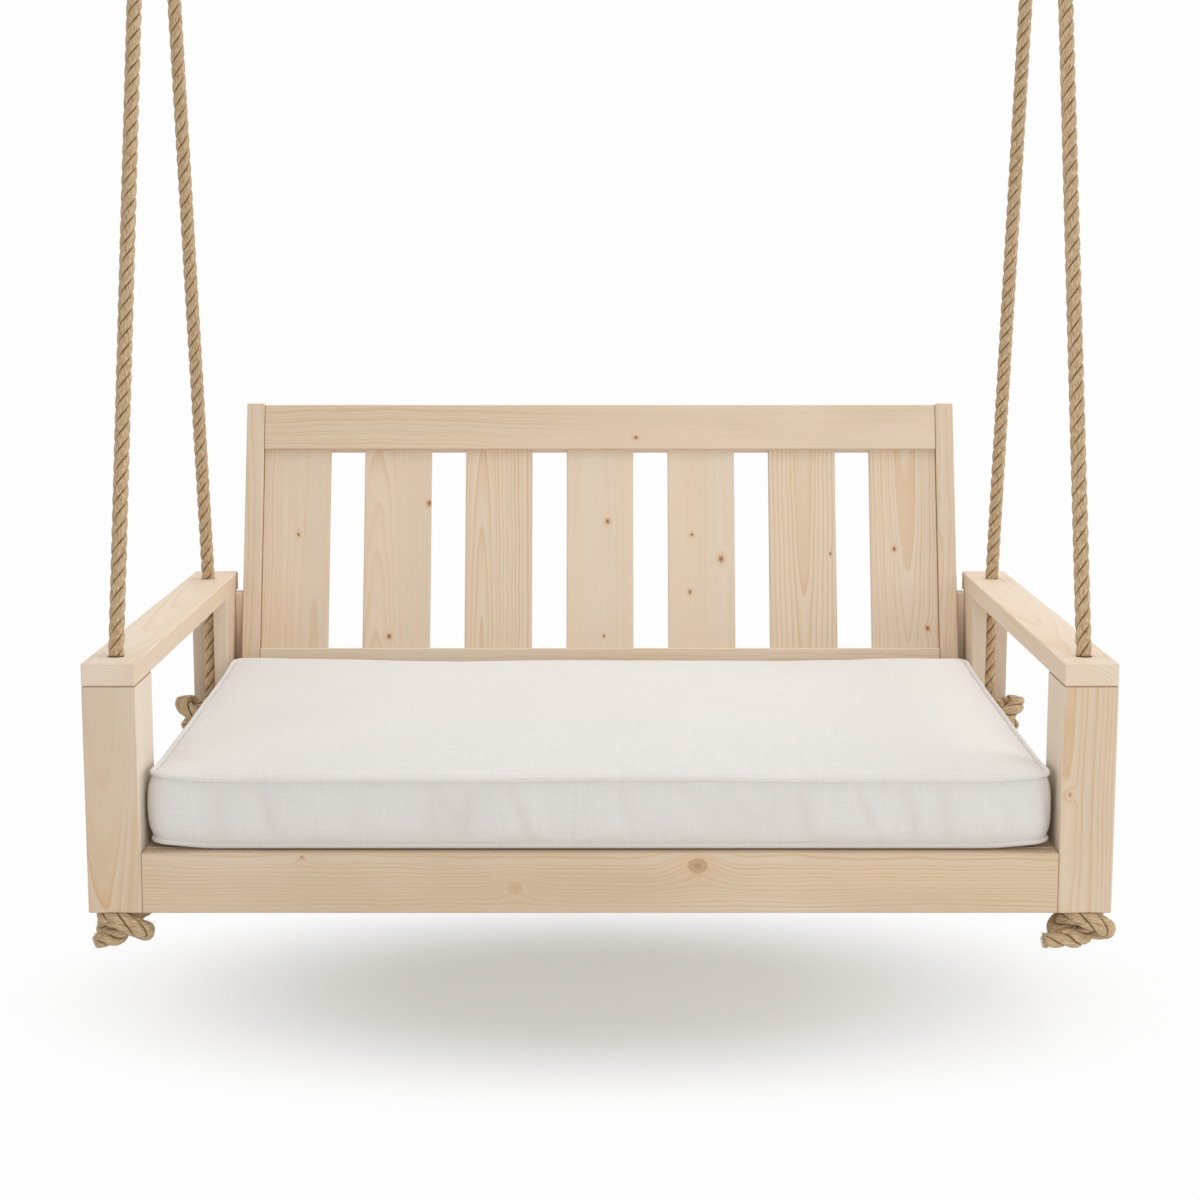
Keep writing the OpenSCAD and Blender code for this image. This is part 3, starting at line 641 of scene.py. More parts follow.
print("fibre tree:", len(loose.nodes), "nodes")

# %% The fibres
stray, tree, shader = new_finish("stray_fibre", 0.8)
feed(shader, Base_Color=blend(noise(own_place(tree), 90, 2.0), (0.52, 0.37, 0.20), (0.83, 0.68, 0.46)))


def clear_of_holes(face, mesh, worn=0.014):
    """The ropes' skin away from the holes in the arms, where they are worn smooth."""
    return abs(on_bench(face.center)[2] - arm_top) > worn


def is_cut(face, mesh):
    """The three-cornered faces close a rope at its ends; the last of them are at the cut."""
    return len(face.vertices) == 3 and face.index >= len(mesh.polygons) - rope_sides


for body, pieces in (("front_ropes", [ropes["front_left"], ropes["front_right"]]),
                     ("back_ropes", [ropes["back_left"], ropes["back_right"]]),
                     ("bench", list(rope_ends.values()))):
    shaped(body + "_fibres", joined(body, pieces, clear_of_holes), loose, body, "rope", Finish=stray)
shaped("cut_yarns", joined("cuts", list(rope_ends.values()), is_cut), loose, "bench", "rope",
       Finish=stray, Per_Square_Metre=130000.0, Length=0.0042, Thickness=0.00055, Spread=0.25, Seed=8)

# %% [markdown]
# ## Pine
# A board is cut from a trunk, so its pattern is a slice through rings about a pith. Painting rings on
# a flat picture never meets round a corner; a solid pattern does. The group below takes a point on
# the board, with Z along the grain, measures how far it lies from the pith, and turns the distance
# into rings whose late wood darkens slowly and stops sharply. Knots push the rings aside.

# %% Knots in the wood
knot_group, given, result = new_tree(
    "wood knot", "ShaderNodeTree",
    {"Vector": "Vector", "At X": 0.0, "At Z": 0.0, "Radius": 0.0, "Strength": 1.0},
    {"Core": "Float", "Body": "Float", "Rim": "Float", "Halo": "Float", "Push": "Float"})
x, y, z = parts(given["Vector"])
dx = x - given["At X"]
dz = (z - given["At Z"]) * 0.80
ragged = (noise(given["Vector"], 190, 2.0) - 0.5) * 0.005
away = worked("SQRT", dx * dx + dz * dz) + ragged
ratio = away / worked("MAXIMUM", given["Radius"], 0.0001)
here = worked("GREATER_THAN", given["Radius"], 0.0005) * given["Strength"]
dark = fade(given["Radius"], 0.004, 0.008, 0.90, 0.35) * here
rim = fade(ratio, 0.70, 0.95) * fade(ratio, 1.0, 1.3, 1.0, 0.0)
near = ratio * 0.30
bell = worked("POWER", 2.718, near * near * -1.0)
feed(result, Core=fade(ratio, 0.30, 0.80, 1.0, 0.0) * dark, Body=fade(ratio, 0.80, 1.45, 1.0, 0.0) * here,
     Rim=rim * here, Halo=fade(ratio, 1.0, 3.4, 1.0, 0.0) * here, Push=bell * (given["Radius"] * 1.5))
print("knot group:", len(knot_group.nodes), "nodes")

# %% Distance from the pith
knot_names = ("Knot A", "Knot B", "Knot C")
grain_group, given, result = new_tree(
    "pine grain", "ShaderNodeTree",
    {"Vector": "Vector", "Pith X": 0.0, "Pith Y": 0.05, "Ring": 0.006, "Wander": 0.012, "Line": 0.5,
     "Warmth": 0.5, "Seed": 0.0, "Tilt": 0.0, "Curl": 0.0012, "Strong Z": 0.0, "Strong Span": 20.0,
     "Patchy": 1.0, **{name: (0, 0, 0) for name in knot_names}, "Knot Strength": (1, 1, 1)},
    {"Color": "Color", "Roughness": "Float", "Height": "Float"})


def lengthwise(scale, along, detail=1.0, seed=0.0):
    """A noise on the board, drawn out along the grain. Less along is more drawn out."""
    return noise(stretched(given["Vector"], 1.0, 1.0, along), scale, detail, 0.5, given["Seed"] + seed)


def swing(value, amount):
    return (value - 0.5) * amount


x, y, z = parts(given["Vector"])
off_x = x - given["Pith X"] + swing(lengthwise(4.0, 0.35), given["Wander"] * 6.0)
off_y = (y - (given["Pith Y"] + given["Tilt"] * z)
         + swing(lengthwise(3.0, 0.30, seed=9.0), given["Wander"] * 5.0))
reach = worked("SQRT", off_x * off_x + off_y * off_y) + swing(lengthwise(55.0, 0.12, 2.0), 0.0016)
reach = reach + swing(lengthwise(20.0, 0.40, 1.0, 12.0), given["Curl"] * 4.0)
print("grain group:", len(grain_group.nodes), "nodes")

# %% Knots and rings
found = {}
for name, strength in zip(knot_names, parts(given["Knot Strength"])):
    knot_x, knot_z, radius = parts(given[name])
    knot = put(grain_group, "ShaderNodeGroup", node_tree=knot_group, Vector=given["Vector"], At_X=knot_x,
               At_Z=knot_z, Radius=radius, Strength=strength).outputs
    reach = reach + knot["Push"]
    for part in ("Core", "Body", "Rim", "Halo"):
        seen = Value(knot[part])
        found[part] = worked("MAXIMUM", found[part], seen) if part in found else seen
years = Value(put(grain_group, "ShaderNodeCombineXYZ", reach).outputs[0])
reach = reach + swing(noise(years, 75.0, 1.0, 0.5, given["Seed"]), given["Ring"] * 2.8)
phase = worked("FRACT", reach / given["Ring"])
late = (phase ** 3.6 * 0.86 + phase ** 1.5 * 0.14) * fade(phase, 0.90, 1.0, 1.0, 0.0)
faintest = 1.0 - given["Patchy"] * 0.65
late = late * fade(lengthwise(16.0, 0.08, 2.0, 4.0), 0.32, 0.66, faintest, 1.0)
late = late * fade(lengthwise(9.0, 0.25, 1.0, 6.0), 0.38, 0.60, faintest, 1.0)
late = late * fade(abs(z - given["Strong Z"]) / given["Strong Span"], 0.5, 1.3, 1.0, 0.30)
print("knots on a board:", len(knot_names), "at most")

# %% The wood's colours
streak = lengthwise(700.0, 0.012, 2.0)
band = lengthwise(11.0, 0.10, 1.0, 2.0)
blush = lengthwise(5.0, 0.35, 2.0, 15.0)
tone = blend(given["Warmth"], (0.83, 0.718, 0.597), (0.624, 0.497, 0.356))
for share, color in ((fade(band, 0.38, 0.66, 0.0, 0.50), (0.755, 0.590, 0.430)),
                     (fade(blush, 0.45, 0.70, 0.0, 0.55), (0.790, 0.655, 0.535)),
                     (late * given["Line"], (0.585, 0.345, 0.135)),
                     (fade(streak, 0.40, 0.75, 0.0, 0.15), (0.58, 0.42, 0.28)),
                     (found["Halo"] * 0.50, (0.68, 0.44, 0.25)),
                     (found["Body"] * 0.70, (0.47, 0.275, 0.150)),
                     (found["Rim"] * 0.35, (0.30, 0.150, 0.075)),
                     (found["Core"], (0.150, 0.065, 0.032))):
    tone = blend(share, tone, color)
feed(result, Color=tone, Roughness=streak * 0.15 + (0.56 - late * 0.10), Height=streak * 0.6 + late * 0.5)
print("grain group, finished:", len(grain_group.nodes), "nodes")

# %% [markdown]
# ## One finish for each board
# Boards cut from one plank would all look alike, so each has its own finish: its own pith, ring width
# and warmth. The grain runs along a board's length. A mapping turns the frame's coordinates into the
# board's own, and the order of the axes says which way it lies. Knots stand where the photograph
# shows them, written as across, along and radius in metres. Where a board's end meets another board,
# a thin dark line of painted shade stands for the shadow in the joint, and so it does where the outer
# slats lie beside the stiles. The front posts' inner sides are painted paler: painted light from the side.

# %% One finish for each board
lean = math.radians(-17)
backrest_y = 0.930        # where the stiles' leaning front comes down to the level of the posts' feet
backrest_foot = bench(0, backrest_y, 0)
slat_face = 0.011         # the front of the backrest's slats, in the backrest's own depth
inner_face = 0.7622       # how far the posts' inner faces stand from the middle
nowhere = 20.0            # a joint that a board does not have lies this far off
# Painted light on the front posts' inner sides, and painted shade in the joints between boards
painted_side_light, painted_joint_shade = (0.88, 0.80, 0.70), (0.22, 0.105, 0.045)
upright = (0, 1, 2)
across_x = (2, 1, 0)      # a board along X: its height is across, its length is Z
deep_y = (0, 2, 1)        # a board along Y, lying flat
side_y = (2, 0, 1)        # a board along Y, on edge


def board_finish(name, order, pith, knots=(), leaned=False, end=nowhere, edge=nowhere, pale_side=0.0,
                 **grain_values):
    finish, tree, shader = new_finish("pine_" + name, 0.6)
    foot, angle = (backrest_foot, lean) if leaned else (bench(0, 0, 0), 0.0)
    turn = put(tree, "ShaderNodeMapping", own_place(tree), vector_type="TEXTURE", Location=foot,
               Rotation=(angle, 0, 0))
    axes = parts(Value(turn.outputs[0]))
    own = put(tree, "ShaderNodeCombineXYZ", *[axes[i] for i in order]).outputs[0]
    grain = put(tree, "ShaderNodeGroup", node_tree=grain_group, Vector=own, Pith_X=pith[0], Pith_Y=pith[1],
                **dict(zip(knot_names, knots)), **grain_values).outputs
    off_joint = worked("MINIMUM", end - abs(axes[order[2]]), edge - abs(axes[0]))
    # Painted light: a strip at the posts' inner faces is painted paler. Painted shade: the wood darkens
    # near its joints
    side = fade(abs(axes[0]), inner_face, inner_face + 0.0015, pale_side, 0.0)
    tone = blend(side, grain["Color"], painted_side_light)
    tone = blend(fade(off_joint, 0.0008, 0.0022, 0.75, 0.0), tone, painted_joint_shade)
    feed(shader, Base_Color=tone, Roughness=grain["Roughness"], Specular_IOR_Level=0.35)
    raised(shader, Value(grain["Height"]), 0.25, 0.0006)
    return finish


print("a leaning board's foot is at", rounded(backrest_foot))

# %% The boards
post_top, rail_end, backrest_end = 0.384, 0.762, 0.708
boards = {}


def board(name, order, pith, ring, line, warmth, **more):
    """How a board lies, where its pith is, how wide and dark its rings are, and how warm its colour."""
    boards[name] = dict(order=order, pith=pith, Ring=ring, Line=line, Warmth=warmth, **more)


board("front_rail", across_x, (0.128, 0.050), 0.0054, 0.95, 1.0,
      knots=((0.081, 0.162, 0.0110), (0.0955, -0.494, 0.0035), (0.043, -0.141, 0.0080)),
      Knot_Strength=(0.75, 0.45, 0.30), Wander=0.0060, Tilt=-0.008, Curl=0.0028,
      Patchy=0.35, end=rail_end)
board("back_rail", across_x, (0.05, 1.02), 0.0040, 0.8, 0.7)
board("side_rail_left", side_y, (0.05, -0.90), 0.0045, 0.8, 0.7)
board("side_rail_right", side_y, (0.04, 0.91), 0.0045, 0.8, 0.7)
board("front_post_left", upright, (-0.822, 0.050), 0.0115, 1.0, 0.90,
      Wander=0.003, Tilt=-0.075, Strong_Z=0.075, Strong_Span=0.10, Patchy=0.35,
      end=post_top, pale_side=0.55)
board("front_post_right", upright, (0.772, 0.060), 0.0062, 0.95, 0.80,
      knots=((0.776, 0.202, 0.0032),), Knot_Strength=(0.5, 1, 1), Wander=0.003,
      Tilt=-0.012, Patchy=0.5, end=post_top, pale_side=0.40)
board("back_post_left", upright, (-0.75, 0.90), 0.007, 0.7, 0.6)
board("back_post_right", upright, (0.80, 0.88), 0.007, 0.7, 0.6)
board("arm_left", deep_y, (-0.80, 0.32), 0.0050, 0.60, 0.22, Tilt=0.02)
board("arm_right", deep_y, (0.79, 0.33), 0.0055, 0.60, 0.22, Tilt=0.02)
board("ledger_front", across_x, (0.02, 0.11), 0.006, 0.7, 0.65)
board("ledger_back", across_x, (0.02, 0.98), 0.006, 0.7, 0.65)
board("seat_beam", across_x, (-0.02, 0.50), 0.007, 0.7, 0.65)
board("back_spacers", upright, (0.3, 1.0), 0.008, 0.6, 0.7)
board("stile_left", upright, (-0.70, 0.06), 0.0055, 0.75, 0.66, Patchy=0.5, leaned=True)
board("stile_right", upright, (0.70, 0.06), 0.0055, 0.75, 0.66, Patchy=0.5, leaned=True)
board("back_top_rail", across_x, (0.860, 0.045), 0.0098, 1.0, 0.72,
      knots=((0.732, 0.075, 0.0034),), leaned=True, Wander=0.008, Tilt=0.02,
      Curl=0.0036, Strong_Z=-0.62, Strong_Span=0.50, Patchy=0.5, end=backrest_end)
board("back_bottom_rail", across_x, (0.31, 0.05), 0.0055, 0.75, 0.45,
      leaned=True, Curl=0.002, end=backrest_end)
print("boards of the frame and the backrest's rails:", len(boards))

# %% Slats
# For each slat of the backrest: its pith, ring, line, warmth, knots, tilt, wander and how patchy
slats = [((-0.60, 0.08), 0.0055, 0.60, 0.58, ((-0.633, 0.526, 0.0030),), 0.01, 0.006, 0.8),
         ((-0.470, 0.07), 0.0055, 0.62, 0.56, ((-0.359, 0.593, 0.0046), (-0.440, 0.310, 0.0040)),
          0.02, 0.007, 0.8),
         ((-0.247, -0.0109 + slat_face), 0.0080, 0.85, 0.52, (), 0.050, 0.0010, 0.15),
         ((0.07, 0.08), 0.0050, 0.42, 0.42, ((0.016, 0.554, 0.0042), (0.008, 0.311, 0.0026)),
          0.0, 0.006, 0.8),
         ((0.28, 0.08), 0.0050, 0.42, 0.42, ((0.193, 0.526, 0.0028), (0.254, 0.474, 0.0052),
                                             (0.188, 0.404, 0.0034)), 0.0, 0.006, 0.8),
         ((0.427, 0.0362 + slat_face), 0.0085, 0.85, 0.50, ((0.483, 0.485, 0.0024),), -0.030, 0.0020, 0.2),
         ((0.643, 0.0470 + slat_face), 0.0070, 0.80, 0.48, ((0.617, 0.495, 0.0036), (0.684, 0.327, 0.0042)),
          -0.035, 0.0020, 0.4)]
for i, (pith, ring, line, warmth, knots, tilt, wander, patchy) in enumerate(slats, 1):
    board("back_slat_%d" % i, upright, pith, ring, line, warmth, knots=knots, leaned=True, Wander=wander,
          Tilt=tilt, Patchy=patchy, edge=backrest_end)
chooser = random.Random(11)
first_slat, slat_pitch = -0.7175, 0.1435
for i in range(11):
    x = first_slat + slat_pitch * i
    board("seat_slat_%d" % (i + 1), deep_y,
          (x + chooser.uniform(-0.05, 0.05), 0.13 + chooser.uniform(-0.02, 0.03)),
          chooser.uniform(0.004, 0.007), 0.5, chooser.uniform(0.5, 0.8),
          knots=((x + chooser.uniform(-0.03, 0.03), chooser.uniform(0.1, 1.0), 0.005),))
for number, (name, values) in enumerate(boards.items()):
    wear(nodes[name], board_finish(name, Seed=1.7 * number, **values))
print("boards:", len(boards))

# %% [markdown]
# Dowels are turned from the same pine but show only at their ends, so they share one plain finish.

# %% Turned wood
turned_wood = board_finish("turned", upright, (0.0, 0.3), Seed=60.0, Ring=0.006, Line=0.35, Warmth=0.5)
for name in ("frame_dowels", "arm_dowels", "backrest_dowels"):
    wear(nodes[name], turned_wood)
print("dowels in", turned_wood.name)

# %% [markdown]
# ## Forged steel
# The hooks and thimbles are dipped in zinc. Zinc cools into large dull grains with a slightly
# different shine, so the finish is a pale grey metal whose roughness changes from grain to grain.

# %% Forged steel
zinc, tree, shader = new_finish("zinc_coat", 0.45)
place = own_place(tree)
crystal = put(tree, "ShaderNodeTexVoronoi", place, Scale=220)
tint = Value(put(tree, "ShaderNodeSeparateColor", crystal.outputs["Color"]).outputs[0])
dull = noise(place, 60, 3.0, 0.6, 1.0)
feed(shader, Base_Color=blend(tint, (0.42, 0.43, 0.45), (0.58, 0.59, 0.61)),
     Roughness=tint * 0.12 + dull * 0.5, Metallic=0.9)
raised(shader, dull, 0.15, 0.001)
metal_nodes = [n for n in nodes if n.startswith(("hook_", "thimble_"))] + ["back_lag_screws", "seat_screws"]
for name in metal_nodes:
    wear(nodes[name], zinc)
print("metal nodes:", len(metal_nodes))

# %% [markdown]
# ## The cushion
# A box cushion is a top and a bottom panel joined by a border, with a cord of piping in each seam.
# Filled, the panels crown and the border bulges between the seams and puckers a little. A solid
# block shows none of that, so a slightly small form is blown up as cloth, held at its two seams.

# %% The cushion's form
cushion_half, cushion_front, cushion_far = 0.748, 0.024, 0.950
cushion_mid, cushion_deep = (cushion_front + cushion_far) / 2, (cushion_far - cushion_front) / 2
cushion_base = 0.1023
piping_r = 0.005
seam_low, seam_high = 0.0075, 0.1202       # the seams' heights over the cushion's base
low_lift, high_lift = 0.0070, 0.0065       # how much higher the seams are at the corners
top_wave = 0.0022                          # how far the upper seam goes up and down
corner_r = 0.032


def cushion_lift(y, z):
    """The cushion is a little higher at the back."""
    return cushion_base + z * (1 + 0.24 * (y - cushion_front) / (cushion_far - cushion_front))


def cushion_outline(inset, per_corner=14, along=24, across=14):
    """A rounded rectangle with points spread along its sides, inset from the seam."""
    r = max(corner_r - inset, 0.008)
    x, low, high = cushion_half - inset - r, cushion_front + inset + r, cushion_far - inset - r
    arcs = []
    for cx, cy, start in ((x, high, 0), (-x, high, 90), (-x, low, 180), (x, low, 270)):
        angles = [math.radians(start + 90 * k / (per_corner - 1)) for k in range(per_corner)]
        arcs.append([(cx + r * math.cos(a), cy + r * math.sin(a)) for a in angles])
    points = []
    for i, arc in enumerate(arcs):
        (ax, ay), (bx, by) = arc[-1], arcs[(i + 1) % 4][0]
        n = across if i % 2 else along
        points += arc + [(ax + (bx - ax) * k / n, ay + (by - ay) * k / n) for k in range(1, n)]
    return points


# Each ring of the form: how far it is inset, and its height over the cushion's base
cushion_rings = [(0.30, 0.0), (0.15, 0.0), (0.020, 0.0), (0.008, 0.001), (0.003, 0.0052), (0.000, 0.012),
                 (-0.003, 0.025), (-0.004, 0.045), (-0.004, 0.070), (-0.003, 0.098), (0.000, 0.113),
                 (0.003, 0.1202), (0.008, 0.1250), (0.030, 0.1330), (0.080, 0.1410), (0.160, 0.1455),
                 (0.300, 0.1475)]
print("outline points:", len(cushion_outline(0.0)))

# %% Where a point lies on the cushion
def seam_wave(x, y, amount):
    """The small ups and downs of a sewn seam, in metres."""
    return amount * (math.sin(7.3 * x + 1.2) + 0.6 * math.sin(13.1 * x + 0.4 + 3 * y)
                     + 0.5 * math.sin(21.0 * y + 5 * x)) / 2.1


def corner_share(x, y, from_x=0.64, from_y=0.33, over_y=0.127):
    """From 0 away from the corners to 1 in them, where the filling lifts both seams."""
    a = clamped((abs(x) - from_x) / (cushion_half - from_x))
    b = clamped((abs(y - cushion_mid) - from_y) / over_y)
    return (a * a * (3 - 2 * a)) * (b * b * (3 - 2 * b))


def past_sides(p):
    """How far a point lies past where the sides begin to round into the corners, across and in depth."""
    x, y, _ = on_bench(p)
    return abs(x) - (cushion_half - corner_r), abs(y - cushion_mid) - (cushion_deep - corner_r)


def outward(p):
    """The way out of the cushion's outline, at a point of the frame near it."""
    gx, gy = past_sides(p)
    if gx > 0 and gy > 0:
        out = Vector((gx, gy, 0)).normalized()
    else:
        out = Vector((1, 0, 0)) if gx > gy else Vector((0, 1, 0))
    return Vector((math.copysign(out.x, p.x), math.copysign(out.y, on_bench(p)[1] - cushion_mid), 0))


def outline_gap(p):
    """How far a point lies inside the seam's outline. Outside it is less than nothing."""
    gx, gy = past_sides(p)
    return corner_r - (math.hypot(gx, gy) if gx > 0 and gy > 0 else max(gx, gy))


def seam_height(p):
    """How far a point lies above or below the nearer seam, and which seam it is."""
    _, y, z = on_bench(p)
    rises = [z - cushion_lift(y, seam) for seam in (seam_low, seam_high)]
    return (rises[0], 0) if abs(rises[0]) < abs(rises[1]) else (rises[1], 1)


print("the middle lies", round(outline_gap(bench(0, cushion_mid, 0)), 3), "m inside the outline")

# %% The cushion's cloth
count = len(cushion_outline(0.0))
points = [bench(x, y, cushion_lift(y, z)) for inset, z in cushion_rings for x, y in cushion_outline(inset)]
last = len(points) - count
ends_of_form = [tuple(reversed(range(count))), tuple(last + k for k in range(count))]
form = new_mesh("cushion_linen", points, faces=between_rings(len(cushion_rings), count) + ends_of_form)
cover = add_piece("cushion_linen", form)
remesh = cover.modifiers.new("even_cloth", "REMESH")
remesh.mode = "VOXEL"
remesh.voxel_size = 0.0075
with bpy.context.temp_override(object=cover, active_object=cover, selected_objects=[cover]):
    bpy.ops.object.modifier_apply(modifier=remesh.name)
print("cloth points:", len(cover.data.vertices))

# %% Filling the cushion
cloth_settings = dict(quality=5, mass=0.3, tension_stiffness=12, compression_stiffness=12,
                      shear_stiffness=4, bending_stiffness=0.35, use_pressure=True,
                      uniform_pressure_force=4.0, vertex_group_mass="held", pin_stiffness=1.0,
                      vertex_group_shrink="slack", shrink_min=0.0, shrink_max=-0.045)
cloth_steps, furthest = 20, 0.020
held_beside, held_above, held_under = 0.014, 0.0065, 0.003      # how near the seams the cloth is held
border_deep, panel_slack = 0.012, 0.35


def fill_cushion():
    """Blows the cover up, held at its seams and under the lower one, and says how far it moved."""
    start = [v.co.copy() for v in cover.data.vertices]
    held = cover.vertex_groups.new(name="held")
    slack = cover.vertex_groups.new(name="slack")
    for v in cover.data.vertices:
        rise, which = seam_height(v.co)
        gap = outline_gap(v.co)
        if (gap < held_beside and abs(rise) < held_above) or (which == 0 and rise < held_under):
            held.add([v.index], 1.0, "REPLACE")
        slack.add([v.index], 1.0 if gap < border_deep else panel_slack, "REPLACE")
    cloth = cover.modifiers.new("cloth", "CLOTH")
    for name, value in cloth_settings.items():
        setattr(cloth.settings, name, value)
    cloth.settings.effector_weights.gravity = 0.0
    cloth.collision_settings.use_collision = False
    cloth.point_cache.frame_start, cloth.point_cache.frame_end = 1, cloth_steps
    for step in range(1, cloth_steps + 1):
        scene.frame_set(step)
    blown = cover.evaluated_get(bpy.context.evaluated_depsgraph_get())
    moves = [v.co - a for v, a in zip(blown.data.vertices, start)]
    cover.modifiers.remove(cloth)
    for v, a, move in zip(cover.data.vertices, start, moves):
        if move.length > furthest:
            move *= furthest / move.length
        v.co = a + move
    scene.frame_set(1)
    return max(move.length for move in moves)


print("cloth moved at most", round(fill_cushion() * 1000, 1), "mm")

# %% [markdown]
# The seams rise and fall a few millimetres, as sewn seams do, and the cushion keeps clear of the
# posts and the backrest. The cloth is then smoothed with one level of subdivision.

# %% Finishing the cushion
widest = 0.7585                            # the cushion stays this near the middle, clear of the posts
backrest_slope = 0.3057                    # the tangent of its lean
off_backrest, off_seat = 0.004, 0.0002
border_in, edge_in = 0.03, 0.06            # how far in from the outline the border and the edges reach
bulge, corner_bulge, crease_deep = 0.0045, 0.0030, 0.0032
wide_pucker, small_pucker = 0.0085, 0.0030
wide_wave, small_wave = 0.0045, 0.0012     # the ups and downs of the upper panel
# How much painted shade each point in the border's folds gets in the linen's colour
fold_shade = [0.0] * len(cover.data.vertices)
for v in cover.data.vertices:
    x, y, z = on_bench(v.co)
    low, high = cushion_lift(y, seam_low), cushion_lift(y, seam_high)
    height = clamped((z - low) / (high - low))
    gap = outline_gap(v.co)
    inner = clamped(gap / edge_in)
    corner = corner_share(x, y)
    if gap < border_in:
        # The border bulges between its seams, most at the corners, and puckers from seam to seam
        bow = math.sin(math.pi * height) ** 0.7
        spot = Vector((x + 0.25 * v.co.z, y, 0.22 * v.co.z))
        strong = 0.35 + max(0.0, noises.noise(Vector((x * 3.1 + 4.0, y * 3.1, 0.0))) + 0.25)
        pucker = wide_pucker * noises.noise(spot * 13) + small_pucker * noises.noise(spot * 34)
        crease = max(0.0, 1 - abs(noises.noise(spot * 9 + Vector((7.0, 3.0, 1.0)))) / 0.20) ** 1.5
        fold_shade[v.index] = min(1.0, bow * strong * crease)
        sewn = strong * (pucker - crease_deep * crease)
        v.co += outward(v.co) * bow * (bulge + corner_bulge * corner + sewn)
    elif height > 0.9:
        spot = Vector((x, y, 0.0))
        v.co.z += inner * (wide_wave * noises.noise(spot * 4.5) + small_wave * noises.noise(spot * 13))
    if on_bench(v.co)[2] < low:
        # Below its seam the underside turns in and lies on the seat, which leaves a dark line
        v.co.z = feet_z + cushion_base + (low - cushion_base) * clamped(1 - gap / border_deep) ** 2
    v.co.z += seam_wave(x, y, top_wave) * height * (1 - 0.6 * inner)
    v.co.z += corner * (low_lift - (low_lift - high_lift) * height) * (1 - inner)
    v.co.x = max(-widest, min(widest, v.co.x))
    v.co.z = max(v.co.z, feet_z + cushion_base + off_seat)
    v.co.y = min(v.co.y, backrest_y + backrest_slope * on_bench(v.co)[2] - off_backrest + face_y)
cover.data.attributes.new("fold", "FLOAT", "POINT").data.foreach_set("value", fold_shade)
even = cover.modifiers.new("smooth", "SUBSURF")
even.levels = even.render_levels = 1
smooth(cover.data)
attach(cover, "cushion")
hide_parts("cushion_cover")
print("cover points:", len(cover.data.vertices), "in folds:", sum(f > 0.1 for f in fold_shade))

# %% [markdown]
# Piping is a cord sewn into a seam, so it follows the seam's line: Curve to Mesh carries a circle
# along it. The stitches that close the border stand in the groove beside it. They are spaced evenly
# along the same line, moved onto the cloth, and each is a thread's width thick.

# %% Piping and stitches
piping, given, into = new_shaper("piping", {"Radius": piping_r, "Sides": 12})
line = Value(put(piping, "GeometryNodeMeshToCurve", given["Geometry"]).outputs[0])
feed(into, swept(line, given["Radius"], given["Sides"]))

stitching, given, into = new_shaper("stitches", {"Pitch": 0.0042, "Length": 0.0030, "Thread": 0.0004,
                                                 "Cloth": "Object", "Seed": 3})
line = put(stitching, "GeometryNodeMeshToCurve", given["Geometry"]).outputs[0]
spaced = put(stitching, "GeometryNodeCurveToPoints", mode="LENGTH", Curve=line,
             Length=given["Pitch"]).outputs
under = put(stitching, "GeometryNodeObjectInfo", transform_space="RELATIVE", Object=given["Cloth"])
nearest = put(stitching, "GeometryNodeProximity", under.outputs["Geometry"], target_element="FACES")
laid = put(stitching, "GeometryNodeSetPosition", Geometry=spaced["Points"],
           Position=nearest.outputs["Position"])
ball = put(stitching, "GeometryNodeMeshUVSphere", Segments=6, Rings=4, Radius=1.0)
thin = put(stitching, "ShaderNodeCombineXYZ", given["Thread"], given["Thread"], given["Length"] * 0.5)
thread = put(stitching, "GeometryNodeTransform", Geometry=ball.outputs["Mesh"], Scale=thin.outputs[0])
sway = put(stitching, "FunctionNodeRandomValue", (-0.12, -0.12, -0.12), (0.12, 0.12, 0.12),
           data_type="FLOAT_VECTOR", Seed=given["Seed"])
feed(into, set_on(Value(laid.outputs[0]), thread.outputs[0],
                  astray(Value(spaced["Tangent"]), sway.outputs[0])))
print("seam trees:", len(piping.nodes), len(stitching.nodes), "nodes")

# %% [markdown]
# ## Linen
# The cover is a plain weave of thick and thin yarns, off white with a breath of grey. The weave is
# two sets of stripes, one across the other, with each yarn's own thickness from a stretched noise.
# It is read from the object's own coordinates, on the panels from above and on the border from the
# side, mixed by which way the cloth faces. The border's folds are painted a little darker: painted
# shade, as the light reaches into them less.

# %% The weave
yarn_width = 0.0011
weave_group, given, result = new_tree("linen weave", "ShaderNodeTree",
                                      {"Vector": "Vector", "Yarn": yarn_width},
                                      {"Height": "Float", "Slub": "Float"})
x, y, z = parts(given["Vector"])
normal_x, _, normal_z = parts(Value(put(weave_group, "ShaderNodeNewGeometry").outputs["Normal"]))
up, side_on = fade(abs(normal_z), 0.45, 0.75), fade(abs(normal_x), 0.45, 0.75)
warp = x * (1.0 - side_on) + y * side_on
weft = y * up + z * (1.0 - up)
turns = worked("DIVIDE", 3.14159, given["Yarn"])
cross = worked("SINE", warp * turns) * worked("SINE", weft * turns)
slub = (noise(stretched(given["Vector"], 1.0, 0.04, 0.04), 420, 2.0, 0.6, 1.0)
        + noise(stretched(given["Vector"], 0.04, 1.0, 1.0), 420, 2.0, 0.6, 5.0)) * 0.5
feed(result, Height=cross * 0.35 + slub, Slub=slub)
print("weave group:", len(weave_group.nodes), "nodes")

